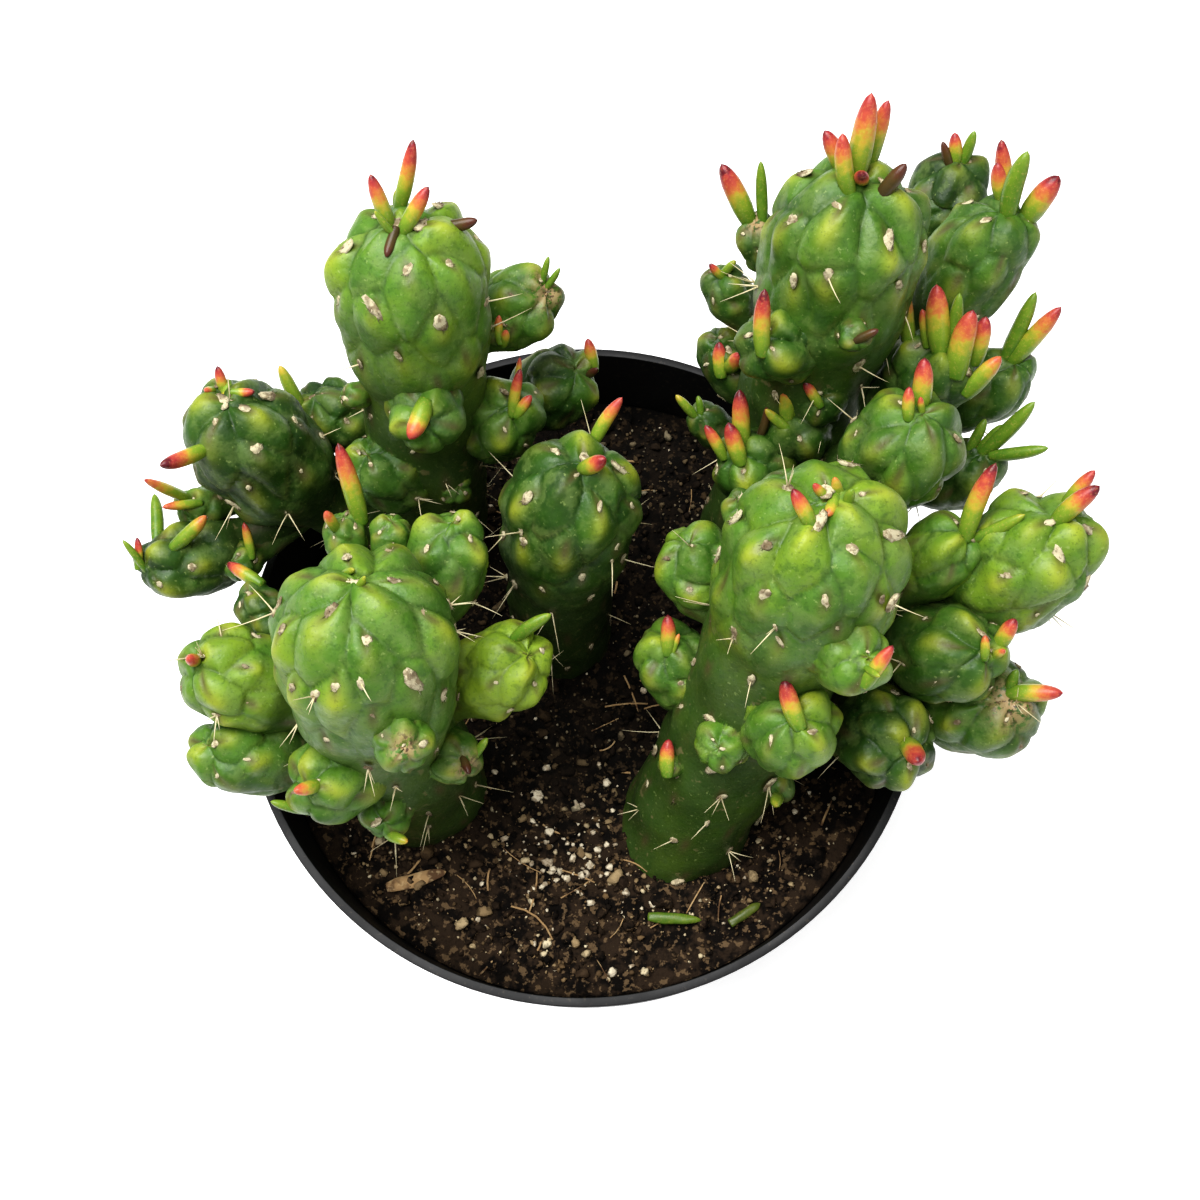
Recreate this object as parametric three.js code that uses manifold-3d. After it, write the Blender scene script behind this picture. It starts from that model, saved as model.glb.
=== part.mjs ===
// Potted gumbi prickly pear: six rooted stems with swollen, knobbly offsets, short awl leaves
// and a few spines, in a round plastic nursery pot filled with potting soil.
// Millimetres, +Z up. The origin is the centre of the pot's underside.

import * as THREE from 'three';
import Module from 'manifold-3d';
import { mergeVertices } from 'three/addons/utils/BufferGeometryUtils.js';

const wasm = await Module();
wasm.setup();

// Driving dimensions of the pot
const POT_HEIGHT = 120;
const RIM_RADIUS = 80;
const BASE_RADIUS = 57;
const WALL = 2;
const COLLAR_HEIGHT = 30;
const COLLAR_STEP = 1.6;
const RIM_CHAMFER = 0.8;
const FLOOR = 2.5;
const DRAIN_RADIUS = 4.5;
const DRAIN_CIRCLE = 38;
const DRAIN_COUNT = 6;
const DRILL_SIDES = 12;
const POT_SIDES = 44;

// Driving dimensions of the soil
const SOIL_LEVEL = 94;
const SOIL_RELIEF = 0.9;
const SOIL_RINGS = 6;
const SOIL_SIDES = 32;
const EDGE_DIP = 0.5;
const GRAIN_COUNT = 12;
const GRAIN_SEED = 77;
const GRAIN_SIZE = [1, 1.9];
const GRAIN_FLATNESS = 0.8;
const GRAIN_LIFT = 0.15;
const GRAIN_SPREAD = 68;
const GRAIN_FROM_STEM = 5;
const GRAIN_FROM_LITTER = 3;
const GAP = 0.3;
const HOLE_SIDES = 14;
const HOLE_HEIGHT = 26;
const HOLE_SLACK = 0.2;

// How the shoots are built. Shares are of a shoot's radius, unless said otherwise.
const STATIONS = 28;
const TRUNK_WIDTH = 0.86;
const NECK_WIDTH = 0.6;
const FOOT_WIDTH = 0.96;
const CROWN_HEIGHT = 0.9;
const KNOB_LENGTH = 1.4;
const KNOB_RISE = 0.055;
const GROOVE_DEPTH = 0.06;
const FIRST_ROW = 0.6;
const TRUNK_BOLDNESS = 0.4;
const PLAIN_FOOT = 16;
const KNOBBED_STRETCH = 2.4;
const ROUNDED_FROM = 14;
const ROUNDED_ROWS = 2;
const SHOULDER_PLACE = 0.42;
const SHOULDER_RISE = 0.035;

// How the leaves and spines are built
const BROAD_LEAF = 3.5;
const LEAF_ROOT = 1.5;
const LEAF_CURL = 0.12;
const LEAF_RINGS = [[0, 0.8], [0.62, 1]];
const SPINE_THICKNESS = 0.8;
const SPINE_SHARE = 0.08;
const SPINE_LENGTH = [4, 9];
const SPINE_CLEARANCE = 2.5;
const SPINE_SWING = 1.2;
const SPINE_DROOP = [0.2, -0.5];
const THIN_SHOOT = 7;
const NEARLY_ALONG = 0.05;
const TURN = 2 * Math.PI;

const vector = (p) => new THREE.Vector3(p[0], p[1], p[2]);

// A seeded draw, so that the plant is the same each time
function seededRandom(seed) {
  let state = seed >>> 0;
  return () => {
    state = (Math.imul(state, 1664525) + 1013904223) >>> 0;
    return state / 4294967296;
  };
}

// One shoot: its axis runs from its root over a bend to its tip, and its crown has a radius.
// stretch makes the crown longer. Each leaf is [around, down, turn, lean, length, width]: it
// leaves the crown at the angle around the axis and the angle down from the tip, and points
// at the angle turn, leaning that far out from the axis. Angles are in degrees.
function shoot(root, bend, tip, radius, stretch, leaves = []) {
  return { root: vector(root), bend: vector(bend), tip: vector(tip), radius, stretch, leaves };
}

// Each rooted stem and the offsets that grew from it. The first shoot stands in the soil.
const STEMS = {
  stem_left_front: [
    shoot([-41, -25, 86], [-43, -26, 150], [-40, -4, 192], 18, 1, [[120, 12, 320, 50, 3, 1.5]]),
    shoot([-42, -21, 141], [-71, -11, 140], [-78, -9, 161], 10.5, 1.1, [[170, 10, 325, 35, 5, 3]]),
    shoot([-42, -23, 132], [-70, -26, 131], [-80, -24, 148], 9, 1.15),
    shoot([-41, -22, 140], [-51, -34, 146], [-57, -35, 156], 9, 1,
      [[355, 20, 270, 15, 5.5, 3], [220, 55, 145, 30, 5.5, 2.5]]),
    shoot([-41, -16, 163], [-34, -31, 170], [-33, -33, 178], 6, 1),
    shoot([-41, -22, 140], [-28, -27, 145], [-24, -32, 150], 6, 1, [[110, 20, 255, 25, 3.5, 2]]),
    shoot([-41, -24, 127], [-44, -38, 134], [-43, -41, 141], 6, 1, [[290, 40, 350, 50, 4.5, 2.5]]),
    shoot([-42, -21, 145], [-21, -12, 144], [-10, -11, 160], 9.5, 1, [[115, 30, 40, 35, 8, 3]]),
    shoot([-42, -17, 158], [-48, 14, 161], [-47, 17, 170], 4.5, 1,
      [[20, 55, 120, 30, 15.5, 4], [240, 35, 180, 20, 4.5, 2.5]]),
    shoot([-42, -17, 158], [-38, 13, 161], [-37, 16, 170], 4.5, 1),
    shoot([-42, -21, 141], [-69, 4, 141], [-71, 8, 152], 5.5, 1.1, [[70, 45, 145, 80, 8.5, 3.5]]),
    shoot([-42, -21, 145], [-27, 6, 156], [-24, 14, 173], 8.5, 1.2),
  ],
  stem_left_back: [
    shoot([-40, 36, 86], [-29, 49, 168], [-29, 59, 209], 15.5, 1.1,
      [[95, 25, 45, 30, 11.5, 3], [155, 10, 125, 25, 8.5, 3], [310, 5, 30, 45, 8.5, 3],
        [240, 10, 160, 35, 5, 1.5], [10, 35, 355, 80, 5.5, 2.5], [245, 10, 250, 115, 5, 2]]),
    shoot([-31, 50, 168], [-14, 65, 166], [-3, 62, 178], 8.5, 1,
      [[110, 20, 105, 55, 4.5, 1.5], [85, 10, 80, 40, 4.5, 1.5]]),
    shoot([-31, 50, 167], [-29, 36, 173], [-28, 32, 182], 8, 1, [[100, 20, 245, 75, 7.5, 4]]),
    shoot([-33, 45, 142], [-15, 45, 147], [-12, 43, 165], 9, 1.05,
      [[270, 10, 80, 55, 9, 2.5], [305, 15, 50, 55, 4.5, 2.5]]),
    shoot([-34, 43, 131], [-5, 60, 134], [2, 59, 150], 9, 1, [[15, 30, 120, 60, 6.5, 3]]),
    shoot([-31, 50, 168], [-44, 44, 168], [-47, 43, 172], 3, 1),
    shoot([-34, 43, 131], [-55, 53, 135], [-59, 56, 149], 8, 1, [[220, 30, 90, 25, 10, 3.5]]),
    shoot([-31, 51, 173], [-14, 54, 175], [-12, 54, 178], 2.5, 1),
    shoot([-34, 44, 137], [-40, 34, 139], [-45, 37, 157], 9, 1),
    shoot([-34, 44, 135], [-28, 34, 140], [-26, 33, 145], 4.5, 1),
    shoot([-38, 38, 101], [-73, 35, 143], [-71, 44, 172], 13.5, 1.25,
      [[110, 20, 110, 25, 5, 2.5], [100, 20, 275, 110, 6.5, 3], [240, 50, 230, 75, 11, 4]]),
    shoot([-61, 38, 134], [-86, 20, 130], [-96, 18, 146], 8.5, 1.3,
      [[210, 10, 85, 45, 7, 2], [180, 15, 65, 75, 6, 2], [105, 60, 100, 100, 11, 3],
        [25, 60, 35, 105, 10, 3.5]]),
    shoot([-62, 38, 137], [-85, 34, 136], [-89, 31, 144], 5, 1,
      [[65, 35, 95, 20, 12, 3], [15, 50, 190, 30, 7, 2.5]]),
    shoot([-59, 37, 131], [-78, 20, 131], [-78, 19, 141], 4.5, 1,
      [[115, 75, 240, 75, 8.5, 3.5], [25, 80, 95, 60, 7, 2.5]]),
  ],
  stem_left_inner: [
    shoot([-5, 12, 86], [-7, 15, 138], [3, 24, 176], 14.5, 1.2,
      [[70, 40, 50, 35, 10, 3], [270, 5, 320, 30, 6.5, 3.5]]),
  ],
  stem_right_front: [
    shoot([21, -39, 86], [46, -6, 152], [47, 5, 198], 18, 1,
      [[225, 20, 130, 50, 6.5, 3], [125, 5, 165, 45, 3.5, 2], [20, 3, 245, 85, 4.5, 2.5]]),
    shoot([40, -12, 147], [27, 9, 141], [24, 12, 159], 9, 1),
    shoot([35, -20, 129], [20, -8, 125], [19, -5, 143], 9, 1, [[265, 10, 85, 50, 7.5, 3.5]]),
    shoot([37, -16, 138], [45, -31, 143], [42, -26, 163], 10, 1, [[285, 15, 105, 50, 9, 4]]),
    shoot([36, -18, 130], [29, -28, 140], [28, -30, 148], 6, 1),
    shoot([32, -24, 119], [18, -30, 123], [18, -29, 129], 3, 1, [[265, 35, 85, 55, 7, 3.5]]),
    shoot([32, -24, 119], [45, -31, 123], [42, -38, 125], 4, 1, [[75, 15, 90, 55, 6, 3]]),
    shoot([43, -6, 161], [52, -21, 175], [54, -21, 184], 7.5, 1, [[270, 40, 60, 50, 8, 3]]),
    shoot([43, -7, 161], [36, 19, 156], [34, 20, 164], 4.5, 1),
  ],
  stem_right_back: [
    shoot([41, 27, 86], [54, 50, 160], [57, 65, 209], 16, 1.1,
      [[160, 5, 80, 15, 14, 4.5], [65, 15, 55, 15, 11, 3.5], [225, 15, 130, 25, 9.5, 3.5],
        [125, 20, 150, 40, 7.5, 3.5], [265, 3, 250, 50, 6, 3], [310, 20, 10, 30, 6, 3]]),
    shoot([55, 56, 172], [41, 71, 175], [40, 71, 186], 5, 1.1,
      [[130, 35, 125, 45, 11.5, 4.5], [45, 25, 90, 40, 10.5, 2.5]]),
    shoot([54, 50, 153], [35, 68, 158], [34, 70, 170], 5.5, 1.1, [[350, 10, 5, 40, 3.5, 2]]),
    shoot([52, 46, 137], [36, 61, 140], [34, 63, 154], 6.5, 1.3,
      [[260, 80, 85, 40, 6.5, 3.5], [285, 70, 325, 25, 6, 3.5]]),
    shoot([54, 53, 171], [42, 44, 179], [39, 44, 189], 8, 1, [[260, 25, 70, 45, 11.5, 3.5]]),
    shoot([55, 56, 181], [56, 41, 190], [56, 39, 194], 3.5, 1, [[5, 15, 25, 65, 3.5, 2]]),
    shoot([51, 44, 131], [88, 66, 166], [90, 69, 189], 10.5, 1.3,
      [[65, 35, 125, 40, 11.5, 3.5], [80, 25, 125, 45, 7, 3.5], [20, 5, 85, 25, 11.5, 4],
        [10, 35, 35, 25, 9, 5]]),
    shoot([78, 60, 161], [86, 88, 159], [86, 89, 178], 9, 1.1,
      [[175, 15, 125, 45, 5, 2], [125, 10, 105, 35, 5.5, 3], [40, 10, 65, 30, 6, 2.5]]),
    shoot([52, 47, 142], [82, 45, 159], [78, 45, 178], 9.5, 1.1,
      [[150, 60, 90, 45, 10.5, 3.5], [150, 30, 95, 45, 6.5, 2.5], [175, 10, 90, 45, 12.5, 5],
        [345, 10, 80, 45, 11, 3], [285, 35, 65, 45, 12.5, 5], [340, 40, 65, 45, 8.5, 4],
        [300, 65, 30, 55, 9, 4]]),
    shoot([61, 47, 148], [95, 47, 144], [97, 49, 162], 8.5, 1.2,
      [[120, 20, 70, 30, 13.5, 3.5], [80, 10, 35, 30, 13.5, 4]]),
    shoot([50, 42, 125], [68, 19, 163], [69, 27, 186], 11.5, 1.1,
      [[85, 20, 95, 25, 8.5, 4], [185, 15, 100, 30, 5, 2.5]]),
    shoot([54, 37, 135], [90, 26, 139], [90, 32, 155], 7.5, 1.2,
      [[70, 3, 5, 35, 14, 3.5], [110, 10, 15, 35, 6.5, 3], [320, 20, 335, 65, 11, 3],
        [140, 25, 40, 30, 6, 2.5]]),
    shoot([50, 41, 119], [45, 30, 142], [36, 33, 159], 9, 1.1,
      [[70, 15, 60, 45, 10.5, 4], [255, 15, 80, 40, 8, 4], [170, 30, 100, 35, 7, 3],
        [45, 45, 40, 55, 7.5, 2]]),
    shoot([51, 46, 146], [52, 35, 154], [46, 39, 163], 8, 1.1,
      [[270, 10, 30, 40, 9.5, 3.5], [255, 25, 140, 25, 5.5, 2.5], [305, 10, 15, 65, 4.5, 2]]),
    shoot([52, 49, 157], [54, 40, 163], [53, 39, 171], 6, 1, [[225, 20, 125, 60, 5.5, 2.5]]),
    shoot([50, 41, 119], [33, 54, 125], [30, 54, 135], 5, 1.2,
      [[195, 20, 130, 45, 6, 2.5], [15, 5, 85, 50, 3.5, 2]]),
  ],
  stem_right_outer: [
    shoot([54, -3, 86], [69, 4, 151], [79, 7, 170], 8, 1.1,
      [[40, 5, 110, 35, 15, 4], [85, 3, 115, 45, 6.5, 3], [5, 20, 5, 20, 10, 3]]),
    shoot([65, 1, 129], [93, 0, 150], [97, 8, 175], 13, 1.1,
      [[65, 20, 35, 25, 8, 3], [205, 5, 15, 30, 9.5, 4]]),
    shoot([65, 1, 129], [72, -12, 143], [83, -15, 162], 10.5, 1.1, [[25, 20, 95, 45, 6, 3.5]]),
    shoot([65, 1, 129], [88, -24, 127], [90, -23, 150], 11.5, 1.1,
      [[85, 10, 345, 55, 10, 4], [90, 15, 85, 40, 4.5, 2.5]]),
    shoot([61, 0, 117], [62, -26, 128], [67, -32, 149], 10.5, 1.1, [[80, 5, 240, 25, 8, 4.5]]),
  ],
};

// The stem colour of each rooted stem: young ones are bright, shaded ones are dark
const STEM_COLOURS = {
  stem_left_front: 0x6f9a3c,
  stem_left_back: 0x64903a,
  stem_left_inner: 0x3f6b2c,
  stem_right_front: 0x6f9a3c,
  stem_right_back: 0x5a8736,
  stem_right_outer: 0x68933a,
};

// Measures of a shoot that the axis gives: points along it from the tip back to the root, with
// a pair of directions across the axis at each point
function measureAxis(part) {
  const curve = new THREE.QuadraticBezierCurve3(part.root, part.bend, part.tip);
  const stations = [];
  let across = new THREE.Vector3(1, 0, 0);
  let travelled = 0;
  for (let i = 0; i <= STATIONS; i++) {
    const t = 1 - i / STATIONS;
    const point = curve.getPoint(t);
    const along = curve.getTangent(t);
    if (i > 0) travelled += point.distanceTo(stations[i - 1].point);
    across = across.clone().addScaledVector(along, -across.dot(along)).normalize();
    const side = new THREE.Vector3().crossVectors(along, across);
    stations.push({ point, along, across, side, travelled });
  }
  return { stations, length: travelled };
}

// The station at a distance back from the tip, in between the measured ones
function stationAt(axis, distance) {
  const list = axis.stations;
  const wanted = Math.min(Math.max(distance, 0), axis.length);
  let i = 1;
  while (i < list.length - 1 && list[i].travelled < wanted) i++;
  const share = (wanted - list[i - 1].travelled) / (list[i].travelled - list[i - 1].travelled);
  const mix = (name) => list[i - 1][name].clone().lerp(list[i][name], share);
  return { point: mix('point'), along: mix('along').normalize(),
    across: mix('across').normalize(), side: mix('side').normalize() };
}

// The smooth outline of a shoot. run is measured over the surface from the tip; back is how
// far behind the tip along the axis, and wide the radius there.
function outline(part, axis, run) {
  const domeHeight = CROWN_HEIGHT * part.radius * part.stretch;
  const domeRun = (Math.PI / 4) * (part.radius + domeHeight);
  if (run < domeRun) {
    const angle = (Math.PI / 2) * (run / domeRun);
    return { back: domeHeight * (1 - Math.cos(angle)), wide: part.radius * Math.sin(angle) };
  }
  const back = Math.min(domeHeight + run - domeRun, axis.length);
  const taperStart = 1.5 * part.radius * part.stretch;
  const taperEnd = 2.5 * part.radius * part.stretch;
  const t = THREE.MathUtils.smoothstep(back, taperStart, taperEnd);
  return { back, wide: part.radius * (1 + (part.neck - 1) * t) };
}

// A point on a shoot's surface, raised or sunk from the smooth outline
function surfacePoint(part, axis, run, angle, rise) {
  const place = outline(part, axis, run);
  const before = outline(part, axis, Math.max(run - 0.5, 0));
  const after = outline(part, axis, run + 0.5);
  const slope = Math.atan2(after.wide - before.wide, after.back - before.back);
  const station = stationAt(axis, place.back);
  const outward = station.across.clone().multiplyScalar(Math.cos(angle))
    .addScaledVector(station.side, Math.sin(angle));
  const normal = outward.clone().multiplyScalar(Math.cos(slope))
    .addScaledVector(station.along, Math.sin(slope));
  const point = station.point.clone().addScaledVector(outward, place.wide);
  return { point: point.addScaledVector(normal, rise), normal, outward, along: station.along };
}

// Rows of knobs stand in a staggered honeycomb: how many go round, and how far apart rows are
function honeycomb(part) {
  const around = part.radius > 15 ? 10 : part.radius > 12 ? 8 : part.radius > 9.2 ? 7
    : part.radius > 6 ? 6 : 5;
  const pitch = KNOB_LENGTH * (TURN * part.radius) / around;
  const cover = part.rooted ? part.axis.length - PLAIN_FOOT
    : Math.min(part.axis.length, KNOBBED_STRETCH * part.radius);
  const rows = Math.max(2, Math.round(cover / pitch));
  return { around, pitch, rows, first: FIRST_ROW * pitch };
}

// How bold the knobs are at a run from the tip: full on the crown, faint on the old trunk
function boldness(part, run) {
  const old = THREE.MathUtils.smoothstep(run, 2 * part.radius, 4 * part.radius);
  return 1 - (1 - TRUNK_BOLDNESS) * old;
}

// Collects triangles by shared points and turns them into one closed solid
class Skin {
  constructor() {
    this.points = [];
    this.faces = [];
  }

  add(point) {
    this.points.push(point.x, point.y, point.z);
    return this.points.length / 3 - 1;
  }

  face(a, b, c) {
    this.faces.push(a, b, c);
  }

  fan(centre, ring) {
    ring.forEach((corner, i) => this.face(centre, corner, ring[(i + 1) % ring.length]));
  }

  // Faces between two rings of as many points
  band(ring, next) {
    ring.forEach((corner, i) => {
      const after = (i + 1) % ring.length;
      this.face(corner, next[i], next[after]);
      this.face(corner, next[after], ring[after]);
    });
  }

  solid() {
    let volume = 0;
    const at = (i) => new THREE.Vector3().fromArray(this.points, 3 * i);
    for (let i = 0; i < this.faces.length; i += 3) {
      const [a, b, c] = this.faces.slice(i, i + 3).map(at);
      volume += a.dot(b.cross(c));
    }
    const faces = volume > 0 ? this.faces : this.faces.slice().reverse();
    return new wasm.Manifold(new wasm.Mesh({
      numProp: 3,
      vertProperties: new Float32Array(this.points),
      triVerts: new Uint32Array(faces),
    }));
  }
}

// One knob: a fan from its peak to its corners, with a ring of shoulders in between on the
// boldest ones, so that they are round
function coverKnob(skin, part, knob, corners, rounded) {
  const top = skin.add(knob.point);
  const ring = corners.map((corner) => corner.index);
  if (!rounded) {
    skin.fan(top, ring);
    return;
  }
  const shoulders = corners.map((corner) => {
    const place = corner.point.clone().lerp(knob.point, SHOULDER_PLACE);
    return skin.add(place.addScaledVector(knob.normal, SHOULDER_RISE * part.radius));
  });
  skin.fan(top, shoulders);
  ring.forEach((corner, i) => {
    const next = (i + 1) % ring.length;
    skin.face(shoulders[i], corner, ring[next]);
    skin.face(shoulders[i], ring[next], shoulders[next]);
  });
}

// The body of a shoot, covered with knobs from the crown down, and plain towards its root
function shootSolid(part) {
  const { axis } = part;
  const comb = honeycomb(part);
  const step = TURN / comb.around;
  const skin = new Skin();
  const corner = (run, angle) => {
    const depth = GROOVE_DEPTH * part.radius * boldness(part, run);
    const point = surfacePoint(part, axis, run, angle, -depth).point;
    return { point, index: skin.add(point) };
  };
  const apexPoint = surfacePoint(part, axis, 0, 0, -GROOVE_DEPTH * part.radius).point;
  const apex = { point: apexPoint, index: skin.add(apexPoint) };
  let above = null;
  for (let row = 0; row < comb.rows; row++) {
    const run = comb.first + row * comb.pitch;
    const start = row % 2 ? step / 2 : 0;
    const sides = [];
    const bottoms = [];
    for (let i = 0; i < comb.around; i++) {
      sides.push(corner(run + comb.pitch / 3, start + (i + 0.5) * step));
      bottoms.push(corner(run + (comb.pitch * 2) / 3, start + i * step));
    }
    for (let i = 0; i < comb.around; i++) {
      const before = (i + comb.around - 1) % comb.around;
      const knob = surfacePoint(part, axis, run, start + i * step,
        KNOB_RISE * part.radius * boldness(part, run));
      const below = [sides[i], bottoms[i], sides[before]];
      const corners = above ? [above.leftOf(i), above.topOf(i), above.rightOf(i)] : [apex];
      const rounded = part.radius > ROUNDED_FROM && row < ROUNDED_ROWS;
      coverKnob(skin, part, knob, [...below, ...corners], rounded);
      part.knobs.push(knob);
    }
    // The row below stands half a step round: its knob i lies under this row's side i, between
    // this row's bottoms i and i + 1 (or one less, where this row is itself half a step round)
    const shift = row % 2 ? 1 : 0;
    const pick = (list, i) => list[(i + comb.around) % comb.around];
    above = {
      leftOf: (i) => pick(bottoms, i - shift),
      topOf: (i) => pick(sides, i - shift),
      rightOf: (i) => pick(bottoms, i + 1 - shift),
      edge: [],
    };
    for (let i = 0; i < comb.around; i++) above.edge.push(bottoms[i].index, sides[i].index);
  }
  closeRoot(skin, part, above.edge, comb, ((comb.rows - 1) % 2) * (step / 2));
  return skin.solid();
}

// The plain stretch under the last row of knobs, down to a flat round foot
function closeRoot(skin, part, edge, comb, start) {
  const { axis } = part;
  const foot = stationAt(axis, axis.length);
  const wide = footRadius(part);
  const ring = edge.map((_, i) => {
    const angle = start + (i * Math.PI) / comb.around;
    const outward = foot.across.clone().multiplyScalar(Math.cos(angle))
      .addScaledVector(foot.side, Math.sin(angle));
    return skin.add(foot.point.clone().addScaledVector(outward, wide));
  });
  skin.band(ring, edge);
  skin.fan(skin.add(foot.point), ring);
}

// The radius of a shoot at its root
function footRadius(part) {
  return outline(part, part.axis, Infinity).wide * (part.rooted ? FOOT_WIDTH : 1);
}

// A leaf: a stubby awl, round in section, that curves back up a little towards its tip
function leafSolid(part, leaf) {
  const [around, down, turn, lean, length, width] = leaf;
  const dome = (Math.PI / 4) * part.radius * (1 + CROWN_HEIGHT * part.stretch);
  const run = (down / 90) * dome;
  const place = surfacePoint(part, part.axis, run, THREE.MathUtils.degToRad(around), 0);
  const tip = part.axis.stations[0];
  const turned = THREE.MathUtils.degToRad(turn);
  const leaned = THREE.MathUtils.degToRad(lean);
  const outward = tip.across.clone().multiplyScalar(Math.cos(turned))
    .addScaledVector(tip.side, Math.sin(turned));
  const way = tip.along.clone().multiplyScalar(Math.cos(leaned))
    .addScaledVector(outward, Math.sin(leaned));
  const across = new THREE.Vector3().crossVectors(way, tip.side);
  if (across.lengthSq() < NEARLY_ALONG) across.crossVectors(way, tip.across);
  across.normalize();
  const side = new THREE.Vector3().crossVectors(way, across).normalize();
  const sides = width < BROAD_LEAF ? 4 : 5;
  const skin = new Skin();
  const middle = (t) => place.point.clone()
    .addScaledVector(way, -LEAF_ROOT + t * (length + LEAF_ROOT))
    .addScaledVector(tip.along, LEAF_CURL * length * t * t);
  const rings = LEAF_RINGS.map(([t, share]) => {
    const centre = middle(t);
    const ring = [];
    for (let i = 0; i < sides; i++) {
      const angle = (i * TURN) / sides;
      const offset = across.clone().multiplyScalar(Math.cos(angle))
        .addScaledVector(side, Math.sin(angle));
      ring.push(skin.add(centre.clone().addScaledVector(offset, (share * width) / 2)));
    }
    return ring;
  });
  skin.fan(skin.add(middle(0)), rings[0].slice().reverse());
  skin.band(rings[1], rings[0]);
  skin.fan(skin.add(middle(1)), rings[1]);
  return skin.solid();
}

// A spine: a three-sided needle that stands out of a knob's woolly spot
function spineSolid(root, way, length) {
  const across = new THREE.Vector3(way.y, -way.x, 0);
  if (across.lengthSq() < NEARLY_ALONG) across.set(1, 0, 0);
  across.normalize();
  const side = new THREE.Vector3().crossVectors(way, across);
  const skin = new Skin();
  const ring = [0, 1, 2].map((i) => {
    const angle = (i * TURN) / 3;
    const offset = across.clone().multiplyScalar(Math.cos(angle))
      .addScaledVector(side, Math.sin(angle));
    return skin.add(root.clone().addScaledVector(offset, SPINE_THICKNESS / 2));
  });
  const tip = skin.add(root.clone().addScaledVector(way, length));
  skin.fan(tip, ring);
  skin.face(ring[2], ring[1], ring[0]);
  return skin.solid();
}

// How far a point lies outside the nearest shoot of any other stem
function clearanceFromOthers(stemName, point) {
  let least = Infinity;
  for (const [name, parts] of Object.entries(STEMS)) {
    if (name === stemName) continue;
    for (const part of parts) {
      for (const station of part.axis.stations) {
        const { wide } = outline(part, part.axis, station.travelled + 0.4 * part.radius);
        least = Math.min(least, point.distanceTo(station.point) - wide);
      }
    }
  }
  return least;
}

// The spines of one stem, on a share of its knobs, where they stay clear of the other stems
function growSpines(stemName, parts, random) {
  const spines = [];
  for (const part of parts) {
    for (const knob of part.knobs) {
      const chosen = random() < SPINE_SHARE;
      const length = THREE.MathUtils.lerp(...SPINE_LENGTH, random());
      const swing = SPINE_SWING * (random() - 0.5);
      const droop = THREE.MathUtils.lerp(...SPINE_DROOP, random());
      if (!chosen || part.radius < THIN_SHOOT || knob.point.z < SOIL_LEVEL + 6) continue;
      const sideways = new THREE.Vector3().crossVectors(knob.along, knob.outward);
      const way = knob.normal.clone().addScaledVector(sideways, swing)
        .addScaledVector(knob.along, droop).normalize();
      const end = knob.point.clone().addScaledVector(way, length);
      if (end.z < SOIL_LEVEL + 3 || overRim(end)) continue;
      if (clearanceFromOthers(stemName, end) < SPINE_CLEARANCE) continue;
      if (clearanceFromOthers(stemName, knob.point) < SPINE_CLEARANCE) continue;
      spines.push(spineSolid(knob.point.clone().addScaledVector(way, -1), way, length + 1));
    }
  }
  return spines;
}

// Whether a point is in or beside the pot's wall
function overRim(point) {
  const across = Math.hypot(point.x, point.y);
  return point.z < POT_HEIGHT + 2 && across > innerRadius(point.z) - 3;
}

// The pot's inner radius at a height: tapered below, and upright in the collar
function innerRadius(height) {
  const collarFoot = POT_HEIGHT - COLLAR_HEIGHT;
  if (height > collarFoot) return RIM_RADIUS - WALL;
  return BASE_RADIUS - WALL + ((RIM_RADIUS - COLLAR_STEP - BASE_RADIUS) * height) / collarFoot;
}

function joined(solids) {
  return solids.reduce((sum, next) => sum.add(next));
}

// The outer skin of a solid as a geometry: hollows that joining sealed are filled, and loose
// scraps dropped, by keeping only the connected surface that encloses the most
function geometryOf(solid) {
  const mesh = solid.getMesh();
  const points = mesh.vertProperties;
  const faces = mesh.triVerts;
  const leader = Array.from({ length: points.length / 3 }, (_, i) => i);
  const leaderOf = (i) => {
    let top = i;
    while (leader[top] !== top) top = leader[top];
    while (leader[i] !== top) [leader[i], i] = [top, leader[i]];
    return top;
  };
  for (let f = 0; f < faces.length; f += 3) {
    leader[leaderOf(faces[f + 1])] = leaderOf(faces[f]);
    leader[leaderOf(faces[f + 2])] = leaderOf(faces[f]);
  }
  const volumes = new Map();
  const at = (i) => new THREE.Vector3().fromArray(points, 3 * i);
  for (let f = 0; f < faces.length; f += 3) {
    const group = leaderOf(faces[f]);
    const slice = at(faces[f]).dot(at(faces[f + 1]).cross(at(faces[f + 2])));
    volumes.set(group, (volumes.get(group) ?? 0) + slice);
  }
  const outer = [...volumes].reduce((best, next) => (next[1] > best[1] ? next : best))[0];
  const kept = [];
  for (let f = 0; f < faces.length; f += 3) {
    if (leaderOf(faces[f]) === outer) kept.push(faces[f], faces[f + 1], faces[f + 2]);
  }
  const geometry = new THREE.BufferGeometry();
  geometry.setAttribute('position', new THREE.BufferAttribute(new Float32Array(points), 3));
  geometry.setIndex(new THREE.BufferAttribute(new Uint32Array(kept), 1));
  return geometry;
}

function solidOf(geometry) {
  const bare = geometry.clone();
  bare.deleteAttribute('normal');
  bare.deleteAttribute('uv');
  const merged = mergeVertices(bare, 1e-4);
  return new wasm.Manifold(new wasm.Mesh({
    numProp: 3,
    vertProperties: new Float32Array(merged.attributes.position.array),
    triVerts: new Uint32Array(merged.index.array),
  }));
}

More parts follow.
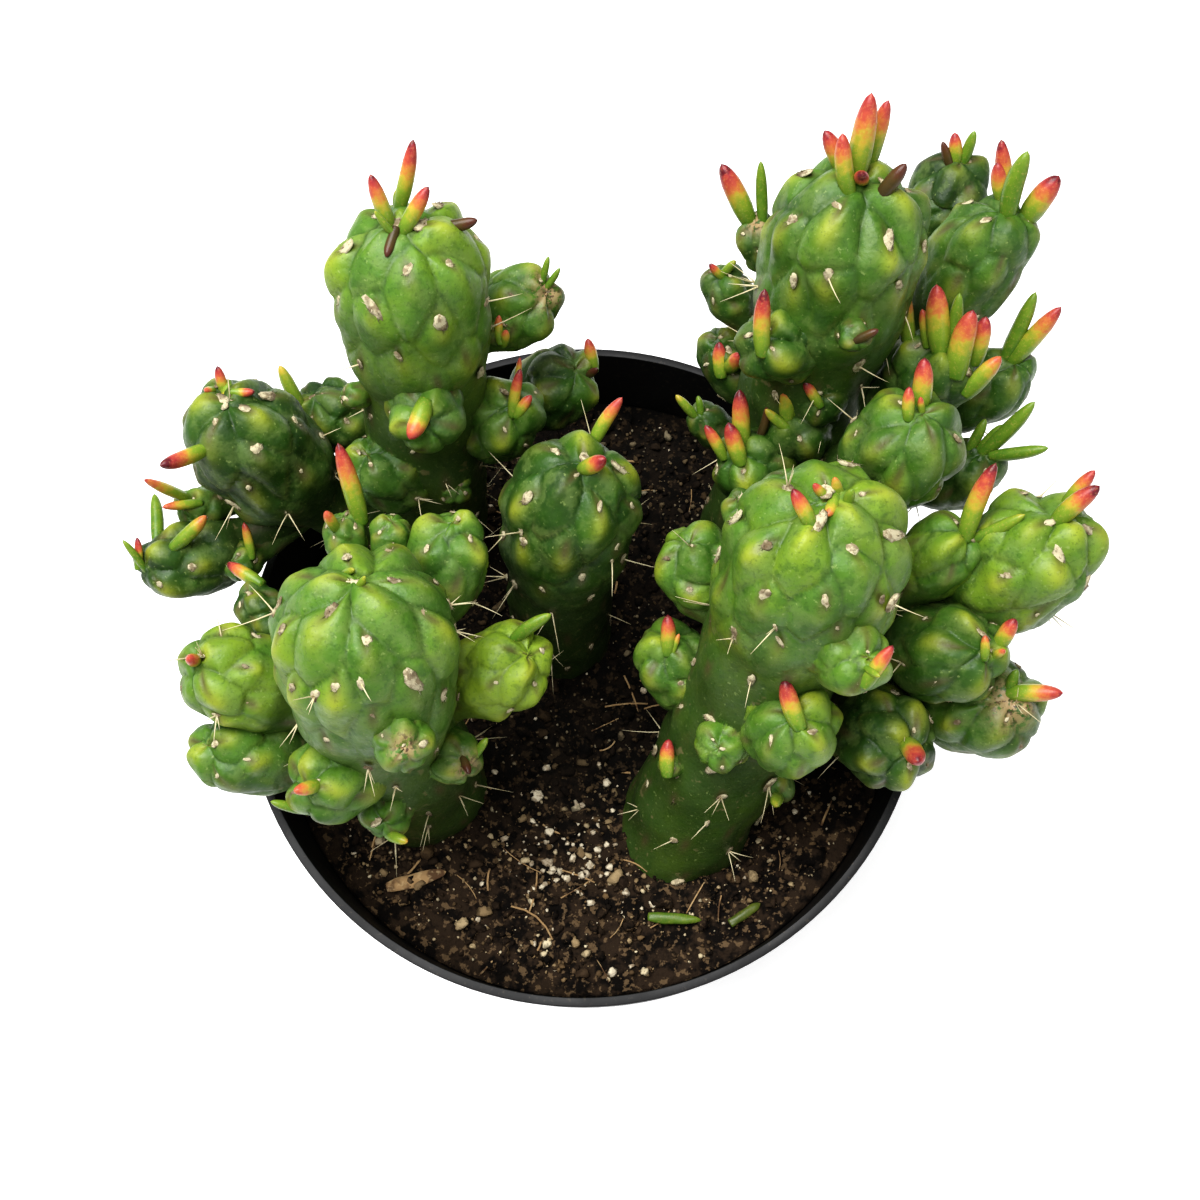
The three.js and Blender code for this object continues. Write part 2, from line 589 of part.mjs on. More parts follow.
// The nursery pot: a thin tapered shell with an upright collar, turned about Z, with drain holes
function potGeometry() {
  const collarFoot = POT_HEIGHT - COLLAR_HEIGHT;
  const outline2d = [
    [0, 0], [BASE_RADIUS, 0], [RIM_RADIUS - COLLAR_STEP, collarFoot], [RIM_RADIUS, collarFoot],
    [RIM_RADIUS, POT_HEIGHT - RIM_CHAMFER], [RIM_RADIUS - RIM_CHAMFER, POT_HEIGHT],
    [RIM_RADIUS - WALL, POT_HEIGHT], [RIM_RADIUS - WALL, collarFoot + WALL],
    [innerRadius(collarFoot), collarFoot], [innerRadius(FLOOR), FLOOR], [0, FLOOR],
  ].map(([x, y]) => new THREE.Vector2(x, y));
  const shell = new THREE.LatheGeometry(outline2d, POT_SIDES);
  shell.rotateX(Math.PI / 2);
  let pot = solidOf(shell);
  for (let i = 0; i < DRAIN_COUNT; i++) {
    const angle = (i * TURN) / DRAIN_COUNT;
    const drill = new THREE.CylinderGeometry(DRAIN_RADIUS, DRAIN_RADIUS, 3 * FLOOR, DRILL_SIDES);
    drill.rotateX(Math.PI / 2);
    drill.translate(DRAIN_CIRCLE * Math.cos(angle), DRAIN_CIRCLE * Math.sin(angle), FLOOR / 2);
    pot = pot.subtract(solidOf(drill));
  }
  return geometryOf(pot);
}

// The soil's top: low swells and small lumps
function soilHeight(x, y) {
  const swell = Math.sin(x * 0.11 + 1.3) * Math.cos(y * 0.09 - 0.4);
  const lumps = Math.sin(x * 0.37 + y * 0.21) * Math.cos(y * 0.43 - x * 0.13);
  return SOIL_LEVEL + SOIL_RELIEF * (0.8 * swell + 0.45 * lumps);
}

function soilSolid() {
  const skin = new Skin();
  const wallRadius = innerRadius(SOIL_LEVEL) - GAP;
  const rings = [];
  for (let r = 1; r <= SOIL_RINGS; r++) {
    const ring = [];
    for (let i = 0; i < SOIL_SIDES; i++) {
      const angle = ((i + (r % 2) / 2) * TURN) / SOIL_SIDES;
      const radius = (wallRadius * r) / SOIL_RINGS;
      const x = radius * Math.cos(angle);
      const y = radius * Math.sin(angle);
      const z = r === SOIL_RINGS ? SOIL_LEVEL - EDGE_DIP : soilHeight(x, y);
      ring.push(skin.add(new THREE.Vector3(x, y, z)));
    }
    rings.push(ring);
  }
  skin.fan(skin.add(new THREE.Vector3(0, 0, soilHeight(0, 0))), rings[0]);
  for (let r = 0; r < SOIL_RINGS - 1; r++) bridge(skin, rings[r], rings[r + 1], (r + 1) % 2);
  const collarFoot = POT_HEIGHT - COLLAR_HEIGHT;
  const side = [
    [wallRadius, collarFoot + WALL + GAP], [innerRadius(collarFoot) - GAP, collarFoot + GAP],
    [innerRadius(FLOOR) - GAP, FLOOR + GAP],
  ];
  let upper = rings[SOIL_RINGS - 1];
  for (const [radius, height] of side) {
    const lower = upper.map((_, i) => {
      const angle = ((i + (SOIL_RINGS % 2) / 2) * TURN) / SOIL_SIDES;
      const x = radius * Math.cos(angle);
      return skin.add(new THREE.Vector3(x, radius * Math.sin(angle), height));
    });
    skin.band(upper, lower);
    upper = lower;
  }
  skin.fan(skin.add(new THREE.Vector3(0, 0, FLOOR + GAP)), upper.slice().reverse());
  return skin.solid();
}

// Joins two rings of the soil's top, of which one is half a step round from the other
function bridge(skin, inner, outer, innerIsTurned) {
  inner.forEach((corner, i) => {
    const next = (i + 1) % inner.length;
    if (innerIsTurned) {
      skin.face(corner, outer[i], outer[next]);
      skin.face(corner, outer[next], inner[next]);
    } else {
      skin.face(corner, outer[i], inner[next]);
      skin.face(outer[i], outer[next], inner[next]);
    }
  });
}

// A plain hole for a stem's foot: the foot's own run, a little wider and deeper
function footHole(part) {
  const skin = new Skin();
  const wide = (footRadius(part) + GAP) / Math.cos(Math.PI / HOLE_SIDES) + HOLE_SLACK;
  const foot = stationAt(part.axis, part.axis.length);
  const above = stationAt(part.axis, part.axis.length - HOLE_HEIGHT);
  const base = foot.point.clone().addScaledVector(foot.along, -GAP);
  const ringAt = (centre, place) => Array.from({ length: HOLE_SIDES }, (_, i) => {
    const angle = (i * TURN) / HOLE_SIDES;
    const outward = place.across.clone().multiplyScalar(Math.cos(angle))
      .addScaledVector(place.side, Math.sin(angle));
    return skin.add(centre.clone().addScaledVector(outward, wide));
  });
  const low = ringAt(base, foot);
  const high = ringAt(above.point, above);
  skin.fan(skin.add(base), low.slice().reverse());
  skin.band(high, low);
  skin.fan(skin.add(above.point), high);
  return skin.solid();
}

// Grains of perlite and grit, half sunk in the soil, clear of the stems and the wall
function soilGrains(feet) {
  const random = seededRandom(GRAIN_SEED);
  const grains = [];
  while (grains.length < GRAIN_COUNT) {
    const angle = TURN * random();
    const radius = GRAIN_SPREAD * Math.sqrt(random());
    const size = THREE.MathUtils.lerp(...GRAIN_SIZE, random());
    const x = radius * Math.cos(angle);
    const y = radius * Math.sin(angle);
    const clearOfStems = feet.every((foot) => (
      Math.hypot(x - foot.x, y - foot.y) > foot.wide + GRAIN_FROM_STEM));
    const clearOfLitter = LITTER.every((piece) => (
      Math.hypot(x - piece.x, y - piece.y) > piece.length / 2 + GRAIN_FROM_LITTER));
    if (!clearOfStems || !clearOfLitter) continue;
    const grain = new THREE.OctahedronGeometry(size, 0);
    grain.rotateZ(TURN * random());
    grain.scale(1, GRAIN_FLATNESS, GRAIN_FLATNESS);
    grain.translate(x, y, soilHeight(x, y) + GRAIN_LIFT);
    grains.push(solidOf(grain));
  }
  return grains;
}

// What lies loose on the soil: a dry husk and two fallen leaves
const LITTER = [
  { name: 'dry_husk', x: -43, y: -48.5, turn: 12, length: 15, width: 3.6, thick: 0.9,
    colour: 0xb09060 },
  { name: 'fallen_leaf_green', x: 19, y: -60.5, turn: -6, length: 13, width: 2.6, thick: 1.6,
    colour: 0x5f9440 },
  { name: 'fallen_leaf_dark', x: 36, y: -60, turn: 30, length: 9, width: 2.4, thick: 1.4,
    colour: 0x35502a },
];

// The places along a loose piece and how wide it is there, as shares of its length and width
const LITTER_SHAPE = [[-0.5, 0.25], [-0.25, 0.8], [0.05, 1], [0.3, 0.8], [0.5, 0.2]];
const LITTER_LIFT = 0.15;

// A loose piece: a flat pointed spindle that rests on the highest spots of the soil under it
function litterGeometry(piece) {
  const skin = new Skin();
  const turned = THREE.MathUtils.degToRad(piece.turn);
  const place = (along, across) => ({
    x: piece.x + along * Math.cos(turned) - across * Math.sin(turned),
    y: piece.y + along * Math.sin(turned) + across * Math.cos(turned),
  });
  let rest = -Infinity;
  for (const [t, share] of LITTER_SHAPE) {
    for (const side of [-1, 0, 1]) {
      const spot = place(t * piece.length, (side * share * piece.width) / 2);
      rest = Math.max(rest, soilHeight(spot.x, spot.y));
    }
  }
  const floor = rest + GAP + LITTER_LIFT;
  const rings = LITTER_SHAPE.map(([t, share]) => {
    const half = (share * piece.width) / 2;
    const left = place(t * piece.length, half);
    const right = place(t * piece.length, -half);
    const middle = place(t * piece.length, 0);
    const tall = piece.thick * (0.5 + 0.5 * share);
    return [
      skin.add(new THREE.Vector3(left.x, left.y, floor + 0.3 * tall)),
      skin.add(new THREE.Vector3(middle.x, middle.y, floor)),
      skin.add(new THREE.Vector3(right.x, right.y, floor + 0.3 * tall)),
      skin.add(new THREE.Vector3(middle.x, middle.y, floor + tall)),
    ];
  });
  for (let r = 0; r < rings.length - 1; r++) skin.band(rings[r + 1], rings[r]);
  const first = rings[0];
  const last = rings[rings.length - 1];
  skin.face(first[0], first[3], first[2]);
  skin.face(first[0], first[2], first[1]);
  skin.face(last[0], last[1], last[2]);
  skin.face(last[0], last[2], last[3]);
  return geometryOf(skin.solid());
}

function mesh(name, geometry, colour, roughness) {
  const material = new THREE.MeshStandardMaterial({ color: colour, roughness, metalness: 0 });
  const piece = new THREE.Mesh(geometry, material);
  piece.name = name;
  return piece;
}

// The stems
for (const parts of Object.values(STEMS)) {
  parts.forEach((part, i) => {
    part.rooted = i === 0;
    part.neck = part.rooted ? TRUNK_WIDTH : NECK_WIDTH;
    part.axis = measureAxis(part);
    part.knobs = [];
  });
}

const plant = new THREE.Group();
const feet = [];
const footHoles = [];
for (const [name, parts] of Object.entries(STEMS)) {
  const bodies = parts.map(shootSolid);
  const leaves = parts.flatMap((part) => part.leaves.map((leaf) => leafSolid(part, leaf)));
  const spines = growSpines(name, parts, seededRandom(name.length * 31 + parts.length));
  const whole = geometryOf(joined([...bodies, ...leaves, ...spines]));
  plant.add(mesh(name, whole, STEM_COLOURS[name], 0.5));
  const trunk = parts[0];
  footHoles.push(footHole(trunk));
  feet.push({ x: trunk.root.x, y: trunk.root.y, wide: footRadius(trunk) });
}

// The soil, with a plain hole for each stem
let soil = joined([soilSolid(), ...soilGrains(feet)]);
for (const hole of footHoles) soil = soil.subtract(hole);

const model = new THREE.Group();
model.add(mesh('pot', potGeometry(), 0x17181a, 0.45));
model.add(mesh('soil', geometryOf(soil), 0x2b1d15, 0.95));
model.add(plant);
for (const piece of LITTER) model.add(mesh(piece.name, litterGeometry(piece), piece.colour, 0.8));

export default model;
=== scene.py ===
# %% [markdown]
# # A potted gumbi prickly pear
# This lesson dresses a plain model of a potted cactus. The plant is a lumpy, knobbly form of
# prickly pear: six rooted stems, each with rounded offsets that sprout from its sides, short
# fleshy leaves on the growing tips, tufts of pale wool, a few straw-coloured spines, and a round
# black nursery pot filled with dark soil. The plain model fixes the size and place of each piece.
# Here every one of them gets its fine shape and its finish.

# %% The plain model
import math

import bpy
import numpy as np
from mathutils import Matrix, Vector, noise


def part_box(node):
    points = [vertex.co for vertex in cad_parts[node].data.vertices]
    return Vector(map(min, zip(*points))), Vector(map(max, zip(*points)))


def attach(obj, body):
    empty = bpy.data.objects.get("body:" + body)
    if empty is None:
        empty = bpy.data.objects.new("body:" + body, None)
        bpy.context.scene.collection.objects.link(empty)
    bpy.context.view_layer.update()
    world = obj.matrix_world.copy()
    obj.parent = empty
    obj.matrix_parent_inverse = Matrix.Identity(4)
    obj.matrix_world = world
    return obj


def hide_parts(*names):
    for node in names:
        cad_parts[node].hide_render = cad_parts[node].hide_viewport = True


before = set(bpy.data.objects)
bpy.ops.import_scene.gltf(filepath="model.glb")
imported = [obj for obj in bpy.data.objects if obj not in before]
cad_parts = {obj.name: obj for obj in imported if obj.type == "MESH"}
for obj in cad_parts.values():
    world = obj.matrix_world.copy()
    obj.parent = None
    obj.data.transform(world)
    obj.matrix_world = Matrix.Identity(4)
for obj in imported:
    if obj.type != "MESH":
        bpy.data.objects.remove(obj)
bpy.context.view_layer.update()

MM = 0.001
TURN = 2 * math.pi
print("nodes:", sorted(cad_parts))


# %% [markdown]
# ## Small helpers
# An operator works on whatever is selected, so each piece starts with nothing selected. The
# helpers below are the moves that come back all the time: start clean, name the new piece, apply
# a modifier, and say on which body the finished piece rides.

# %% Helpers for every piece
def select_nothing():
    bpy.ops.object.select_all(action="DESELECT")


def name_new_piece(name):
    piece = bpy.context.object
    piece.name = name
    piece.data.name = name
    return piece


def work_on(piece):
    select_nothing()
    piece.select_set(True)
    bpy.context.view_layer.objects.active = piece


def apply_modifier(piece, kind, **settings):
    work_on(piece)
    modifier = piece.modifiers.new(kind.lower(), kind)
    for setting, value in settings.items():
        setattr(modifier, setting, value)
    bpy.ops.object.modifier_apply(modifier=modifier.name)


def finish_piece(piece, material, slot, *nodes):
    piece.data.materials.clear()
    piece.data.materials.append(material)
    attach(piece, "root")
    if nodes:
        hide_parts(*nodes)
    print(f"{piece.name}: {len(piece.data.polygons)} faces")


def edit_all():
    bpy.ops.object.mode_set(mode="EDIT")
    bpy.ops.mesh.select_all(action="SELECT")


def end_edit():
    bpy.ops.object.mode_set(mode="OBJECT")


def points_of(piece):
    flat = np.empty(3 * len(piece.data.vertices), np.float32)
    piece.data.vertices.foreach_get("co", flat)
    return flat.reshape(-1, 3).astype(float)


def move_points(piece, points):
    piece.data.vertices.foreach_set("co", np.asarray(points, np.float32).ravel())
    piece.data.update()


def write_mask(piece, name, values):
    mask = piece.data.attributes.new(name, "FLOAT", "POINT")
    mask.data.foreach_set("value", np.asarray(values, np.float32))


def read_mask(piece, name):
    values = np.empty(len(piece.data.vertices), np.float32)
    piece.data.attributes[name].data.foreach_get("value", values)
    return values.astype(float)


def smooth_step(value, start, end):
    share = np.clip((value - start) / (end - start), 0, 1)
    return share * share * (3 - 2 * share)


def unit(rows):
    return rows / np.linalg.norm(rows, axis=-1, keepdims=True)


def bump_of(values, width):
    return np.exp(-(values / width) ** 2)


def noise_at(points, size, seed):
    shift = Vector((7.3 * seed, -3.1 * seed, 5.7 * seed))
    return np.array([noise.noise(Vector(p) / size + shift) for p in points])


# %% [markdown]
# ## The camera
# The photo was taken from almost straight above, a little from the front and slightly rolled.
# A camera is added, tipped down by its elevation, and then rolled about its own line of sight.

# %% The camera
CAMERA_PLACE = (4.63 * MM, -81.78 * MM, 415.83 * MM)
CAMERA_ELEVATION = 72.3
CAMERA_ROLL = 2.6
LENS = 39
SENSOR = 36
NEAREST = 0.01

bpy.ops.object.camera_add()
camera = bpy.context.object
tipped = Matrix.Rotation(math.radians(90 - CAMERA_ELEVATION), 4, "X")
rolled = Matrix.Rotation(math.radians(-CAMERA_ROLL), 4, "Z")
camera.matrix_world = Matrix.Translation(CAMERA_PLACE) @ tipped @ rolled
camera.data.lens = LENS
camera.data.sensor_width = SENSOR
camera.data.clip_start = NEAREST
bpy.context.scene.camera = camera
print("camera", [round(v, 3) for v in camera.location])

# %% [markdown]
# ## Light and floor
# Soft studio light: a big lamp high up at the back left, which gives the wax on the stems its
# pale sheen, a weaker one from the front right, and an even white sky for the rest. The floor is
# a plain pale sheet.

# %% Light and floor
KEY_LIGHT = {"place": (-0.2, 0.12, 0.9), "size": 0.7, "watts": 11.5}
FILL_LIGHT = {"place": (0.6, -0.55, 0.7), "size": 0.9, "watts": 2}
LAMP_AIM = Vector((0, 0, 0.12))
SKY_STRENGTH = 0.17
FLOOR_SIZE = 6
FLOOR_DROP = 0.5 * MM


def soft_lamp(name, setup):
    bpy.ops.object.light_add(type="AREA", location=setup["place"])
    lamp = bpy.context.object
    lamp.name = name
    lamp.data.size = setup["size"]
    lamp.data.energy = setup["watts"]
    lamp.rotation_euler = (LAMP_AIM - lamp.location).to_track_quat("-Z", "Y").to_euler()


soft_lamp("key_light", KEY_LIGHT)
soft_lamp("fill_light", FILL_LIGHT)
sky = bpy.data.worlds.new("studio_sky")
sky.use_nodes = True
glow = sky.node_tree.nodes["Background"]
glow.inputs["Color"].default_value = (1, 1, 1, 1)
glow.inputs["Strength"].default_value = SKY_STRENGTH
bpy.context.scene.world = sky
bpy.context.scene.view_settings.view_transform = "Standard"
bpy.context.scene.view_settings.look = "Medium High Contrast"

select_nothing()
# The floor's finish, set at the end, glows a little: it lifts the plant's shadow and lights the
# plant from below.
bpy.ops.mesh.primitive_plane_add(size=FLOOR_SIZE, location=(0, 0, -FLOOR_DROP))
floor = name_new_piece("studio_floor")
print("floor", FLOOR_SIZE, "m square")

# %% [markdown]
# ## How the stems grow
# Each stem is a family of shoots. The first one stands in the soil, and the others sprout from
# its sides. A shoot is a fat finger: its axis is a smooth curve over three points, root, bend and
# tip, and its crown has a radius. The table gives a shoot as its three points and then its
# radius, its stretch and its tone, and says whether its crown has a scab. Tone says how fresh the
# skin is, old shoots dark and young ones yellow-green, and a low tone also paints shade onto the
# shoots deep in the clump. The rows set further in are the leaves on its tip: around, down, turn,
# lean, length, width and colour. A leaf leaves the crown at the angle around the axis and the
# angle down from the tip, and points at the angle turn, leaning that far out. Sizes are in
# millimetres and angles in degrees.

# %% The shoots and their leaves
PLANT = """
stem_left_front
 -41 -25 86, -43 -26 150, -40 -4 192, 18 1 0.55
  120 12 320 50 3 1.5 yellow, 310 5 345 30 3 1.5 yellow
 -42 -21 141, -71 -11 140, -78 -9 161, 10.5 1.1 0.65
  170 10 325 35 5 3 orange
 -42 -23 132, -70 -26 131, -80 -24 148, 9 1.15 0.4
 -41 -22 140, -51 -34 146, -57 -35 156, 9 1 0.45
  355 20 270 15 5.5 3 orange, 220 55 145 30 5.5 2.5 green
 -41 -16 163, -34 -31 170, -33 -33 178, 6 1 0.5 scabbed
 -41 -22 140, -28 -27 145, -24 -32 150, 6 1 0.4 scabbed
  35 40 55 85 3.5 2 green, 110 20 255 25 3.5 2 dry
 -41 -24 127, -44 -38 134, -43 -41 141, 6 1 0.5
  290 40 350 50 4.5 2.5 yellow
 -42 -21 145, -21 -12 144, -10 -11 160, 9.5 1 0.95
  115 30 40 35 8 3 green
 -42 -17 158, -48 14 161, -47 17 170, 4.5 1 0.5
  20 55 120 30 15.5 4 red, 240 35 180 20 4.5 2.5 orange
 -42 -17 158, -38 13 161, -37 16 170, 4.5 1 0.5
 -42 -21 141, -69 4 141, -71 8 152, 5.5 1.1 0.2
  70 45 145 80 8.5 3.5 red
 -42 -21 145, -27 6 156, -24 14 173, 8.5 1.2 0.4
stem_left_back
 -40 36 86, -29 49 168, -29 59 209, 15.5 1.1 0.62
  95 25 45 30 11.5 3 red, 155 10 125 25 8.5 3 red, 310 5 30 45 8.5 3 red, 240 10 160 35 5 1.5 yellow
  100 30 10 10 3 1.5 yellow, 10 35 355 80 5.5 2.5 dry, 245 10 250 115 5 2 dry
 -31 50 168, -14 65 166, -3 62 178, 8.5 1 0.45 scabbed
  110 20 105 55 4.5 1.5 green, 85 10 80 40 4.5 1.5 green
 -31 50 167, -29 36 173, -28 32 182, 8 1 0.45
  100 20 245 75 7.5 4 red
 -33 45 142, -15 45 147, -12 43 165, 9 1.05 0.4
  270 10 80 55 9 2.5 red, 305 15 50 55 4.5 2.5 red, 80 40 80 55 5.5 1.5 orange
 -34 43 131, -5 60 134, 2 59 150, 9 1 0.15
  15 30 120 60 6.5 3 red, 345 25 0 10 3.5 2 dry
 -31 50 168, -44 44 168, -47 43 172, 3 1 0.5
 -34 43 131, -55 53 135, -59 56 149, 8 1 0.15
  220 30 90 25 10 3.5 yellow
 -31 51 173, -14 54 175, -12 54 178, 2.5 1 0.5
  260 80 120 55 4.5 2 orange, 290 80 160 25 3.5 2 orange
 -34 44 137, -40 34 139, -45 37 157, 9 1 0.4
 -34 44 135, -28 34 140, -26 33 145, 4.5 1 0.5
 -38 38 101, -73 35 143, -71 44 172, 13.5 1.25 0.15
  110 20 110 25 5 2.5 red, 135 25 255 50 3.5 2 orange, 100 20 275 110 6.5 3 red
  45 10 355 90 4 2 red, 240 50 230 75 11 4 blushed
 -61 38 134, -86 20 130, -96 18 146, 8.5 1.3 0.05
  210 10 85 45 7 2 green, 180 15 65 75 6 2 red, 105 60 100 100 11 3 green
  25 60 35 105 10 3.5 orange
 -62 38 137, -85 34 136, -89 31 144, 5 1 0.4
  65 35 95 20 12 3 orange, 15 50 190 30 7 2.5 orange
 -59 37 131, -78 20 131, -78 19 141, 4.5 1 0.45
  115 75 240 75 8.5 3.5 yellow, 25 80 95 60 7 2.5 orange
stem_left_inner
 -5 12 86, -7 15 138, 3 24 176, 14.5 1.2 0.18
  70 40 50 35 10 3 red, 270 5 320 30 6.5 3.5 red
stem_right_front
 21 -39 86, 46 -6 152, 47 5 198, 18 1 0.6
  225 20 130 50 6.5 3 red, 125 5 165 45 3.5 2 orange, 45 10 145 30 3.5 2 orange
  20 3 245 85 4.5 2.5 orange, 345 10 55 10 3 2 green
 40 -12 147, 27 9 141, 24 12 159, 9 1 0.55
 35 -20 129, 20 -8 125, 19 -5 143, 9 1 0.5
  265 10 85 50 7.5 3.5 red, 295 15 60 55 4 1.5 orange
 37 -16 138, 45 -31 143, 42 -26 163, 10 1 0.65
  285 15 105 50 9 4 red
 36 -18 130, 29 -28 140, 28 -30 148, 6 1 0.6
 32 -24 119, 18 -30 123, 18 -29 129, 3 1 0.4
  265 35 85 55 7 3.5 red
 32 -24 119, 45 -31 123, 42 -38 125, 4 1 0.4
  75 15 90 55 6 3 yellow
 43 -6 161, 52 -21 175, 54 -21 184, 7.5 1 0.55
  270 40 60 50 8 3 red, 260 20 295 45 3 1.5 yellow
 43 -7 161, 36 19 156, 34 20 164, 4.5 1 0.4
stem_right_back
 41 27 86, 54 50 160, 57 65 209, 16 1.1 0.4
  160 5 80 15 14 4.5 red, 65 15 55 15 11 3.5 red, 225 15 130 25 9.5 3.5 red
  125 20 150 40 7.5 3.5 red, 265 3 250 50 6 3 red, 310 20 10 30 6 3 dry
 55 56 172, 41 71 175, 40 71 186, 5 1.1 0.25 scabbed
  130 35 125 45 11.5 4.5 red, 45 25 90 40 10.5 2.5 green
 54 50 153, 35 68 158, 34 70 170, 5.5 1.1 0.3
  240 10 160 40 3.5 2 red, 350 10 5 40 3.5 2 yellow
 52 46 137, 36 61 140, 34 63 154, 6.5 1.3 0.15
  260 80 85 40 6.5 3.5 red, 285 70 325 25 6 3.5 orange
 54 53 171, 42 44 179, 39 44 189, 8 1 0.25
  260 25 70 45 11.5 3.5 red
 55 56 181, 56 41 190, 56 39 194, 3.5 1 0.4
  5 15 25 65 3.5 2 dry
 51 44 131, 88 66 166, 90 69 189, 10.5 1.3 0.4
  65 35 125 40 11.5 3.5 red, 80 25 125 45 7 3.5 red, 20 5 85 25 11.5 4 green, 10 35 35 25 9 5 red
 78 60 161, 86 88 159, 86 89 178, 9 1.1 0.1
  175 15 125 45 5 2 dry, 125 10 105 35 5.5 3 red, 40 10 65 30 6 2.5 green
 52 47 142, 82 45 159, 78 45 178, 9.5 1.1 0.3
  150 60 90 45 10.5 3.5 orange, 150 30 95 45 6.5 2.5 orange, 175 10 90 45 12.5 5 red
  345 10 80 45 11 3 green, 285 35 65 45 12.5 5 red, 340 40 65 45 8.5 4 red, 300 65 30 55 9 4 orange
 61 47 148, 95 47 144, 97 49 162, 8.5 1.2 0.3
  120 20 70 30 13.5 3.5 green, 80 10 35 30 13.5 4 red
 50 42 125, 68 19 163, 69 27 186, 11.5 1.1 0.4
  85 20 95 25 8.5 4 red, 185 15 100 30 5 2.5 red, 90 5 150 20 3 1.5 orange
 54 37 135, 90 26 139, 90 32 155, 7.5 1.2 0.2
  70 3 5 35 14 3.5 green, 110 10 15 35 6.5 3 green, 320 20 335 65 11 3 green
  140 25 40 30 6 2.5 green
 50 41 119, 45 30 142, 36 33 159, 9 1.1 0.3
  70 15 60 45 10.5 4 red, 255 15 80 40 8 4 red, 170 30 100 35 7 3 red, 45 45 40 55 7.5 2 dry
 51 46 146, 52 35 154, 46 39 163, 8 1.1 0.2
  270 10 30 40 9.5 3.5 red, 255 25 140 25 5.5 2.5 yellow, 305 10 15 65 4.5 2 orange
 52 49 157, 54 40 163, 53 39 171, 6 1 0.2
  225 20 125 60 5.5 2.5 red
 50 41 119, 33 54 125, 30 54 135, 5 1.2 0.2
  195 20 130 45 6 2.5 yellow, 15 5 85 50 3.5 2 green
stem_right_outer
 54 -3 86, 69 4 151, 79 7 170, 8 1.1 0.6
  40 5 110 35 15 4 red, 85 3 115 45 6.5 3 orange, 5 20 5 20 10 3 yellow
 65 1 129, 93 0 150, 97 8 175, 13 1.1 0.6
  65 20 35 25 8 3 red, 205 5 15 30 9.5 4 red
 65 1 129, 72 -12 143, 83 -15 162, 10.5 1.1 0.25
  25 20 95 45 6 3.5 red, 210 10 110 70 4 2 orange, 320 10 155 25 3.5 2 orange
 65 1 129, 88 -24 127, 90 -23 150, 11.5 1.1 0.35 scabbed
  85 10 345 55 10 4 red, 90 15 85 40 4.5 2.5 green
 61 0 117, 62 -26 128, 67 -32 149, 10.5 1.1 0.08
  80 5 240 25 8 4.5 red
"""
TRUNK_WIDTH = 0.86
NECK_WIDTH = 0.6


def read_plant(table):
    """Each stem's list of shoots, and on each shoot the list of its leaves."""
    stems = {}
    for line in table.strip().split("\n"):
        cells = [cell.split() for cell in line.split(",")]
        if line.startswith("  "):
            parts[-1]["leaves"] += [(*map(float, cell[:6]), cell[6]) for cell in cells]
        elif line.startswith(" "):
            root, bend, tip = [np.array(cell, float) * MM for cell in cells[:3]]
            radius, stretch, tone = map(float, cells[3][:3])
            parts.append({"root": root, "bend": bend, "tip": tip, "radius": radius * MM,
                          "stretch": stretch, "tone": tone, "scabbed": "scabbed" in cells[3],
                          "neck": NECK_WIDTH if parts else TRUNK_WIDTH, "leaves": []})
        else:
            parts = stems[line] = []
    return stems


STEMS = read_plant(PLANT)
SHOOTS = [part for parts in STEMS.values() for part in parts]
leaf_count = sum(len(part["leaves"]) for part in SHOOTS)
print(len(STEMS), "stems,", len(SHOOTS), "shoots,", leaf_count, "leaves")


# %% [markdown]
# ## The line and outline of a shoot
# To put anything on a shoot, a leaf, a knob or a tuft of wool, two things are needed: the axis
# with two directions across it at every point, and how wide the shoot is at a distance from its
# tip. The crown is half an egg, below it comes a straight stretch, and then a slimmer neck, as
# the offsets of this plant are pinched where they leave the older stem.

# %% The axis of a shoot
STATIONS = 80


def lay_axis(part):
    t = np.linspace(1, 0, STATIONS)[:, None]
    root, bend, tip = part["root"], part["bend"], part["tip"]
    point = root * (1 - t) ** 2 + 2 * bend * t * (1 - t) + tip * t ** 2
    along = unit((1 - t) * (bend - root) + t * (tip - bend))
    steps = np.linalg.norm(np.diff(point, axis=0), axis=1)
    across = [np.array([1.0, 0, 0])]
    for way in along:
        across.append(unit(across[-1] - way * (across[-1] @ way)))
    across = np.array(across[1:])
    part["axis"] = {"point": point, "along": along, "across": across,
                    "side": np.cross(along, across), "back": np.r_[0, np.cumsum(steps)]}
    part["length"] = part["axis"]["back"][-1]


def station_at(part, back):
    axis = part["axis"]

    def between(name):
        return np.stack([np.interp(back, axis["back"], axis[name][:, i]) for i in range(3)], -1)

    return between("point"), unit(between("along")), unit(between("across")), unit(between("side"))


# %% The outline of a shoot
CROWN_HEIGHT = 0.9
NECK_TOP = 1.5
NECK_END = 2.5
NUDGE = 0.5 * MM


def crown_of(part):
    """The height of the crown, and the run over it from the tip to its foot."""
    dome = CROWN_HEIGHT * part["radius"] * part["stretch"]
    return dome, math.pi / 4 * (part["radius"] + dome)


def outline(part, run):
    dome, dome_run = crown_of(part)
    angle = math.pi / 2 * np.clip(run / dome_run, 0, 1)
    on_dome = run < dome_run
    back = np.where(on_dome, dome * (1 - np.cos(angle)), dome + run - dome_run)
    back = np.minimum(back, part["length"])
    long = part["radius"] * part["stretch"]
    taper = smooth_step(back, NECK_TOP * long, NECK_END * long)
    wide = part["radius"] * np.where(on_dome, np.sin(angle), 1 + (part["neck"] - 1) * taper)
    return back, wide


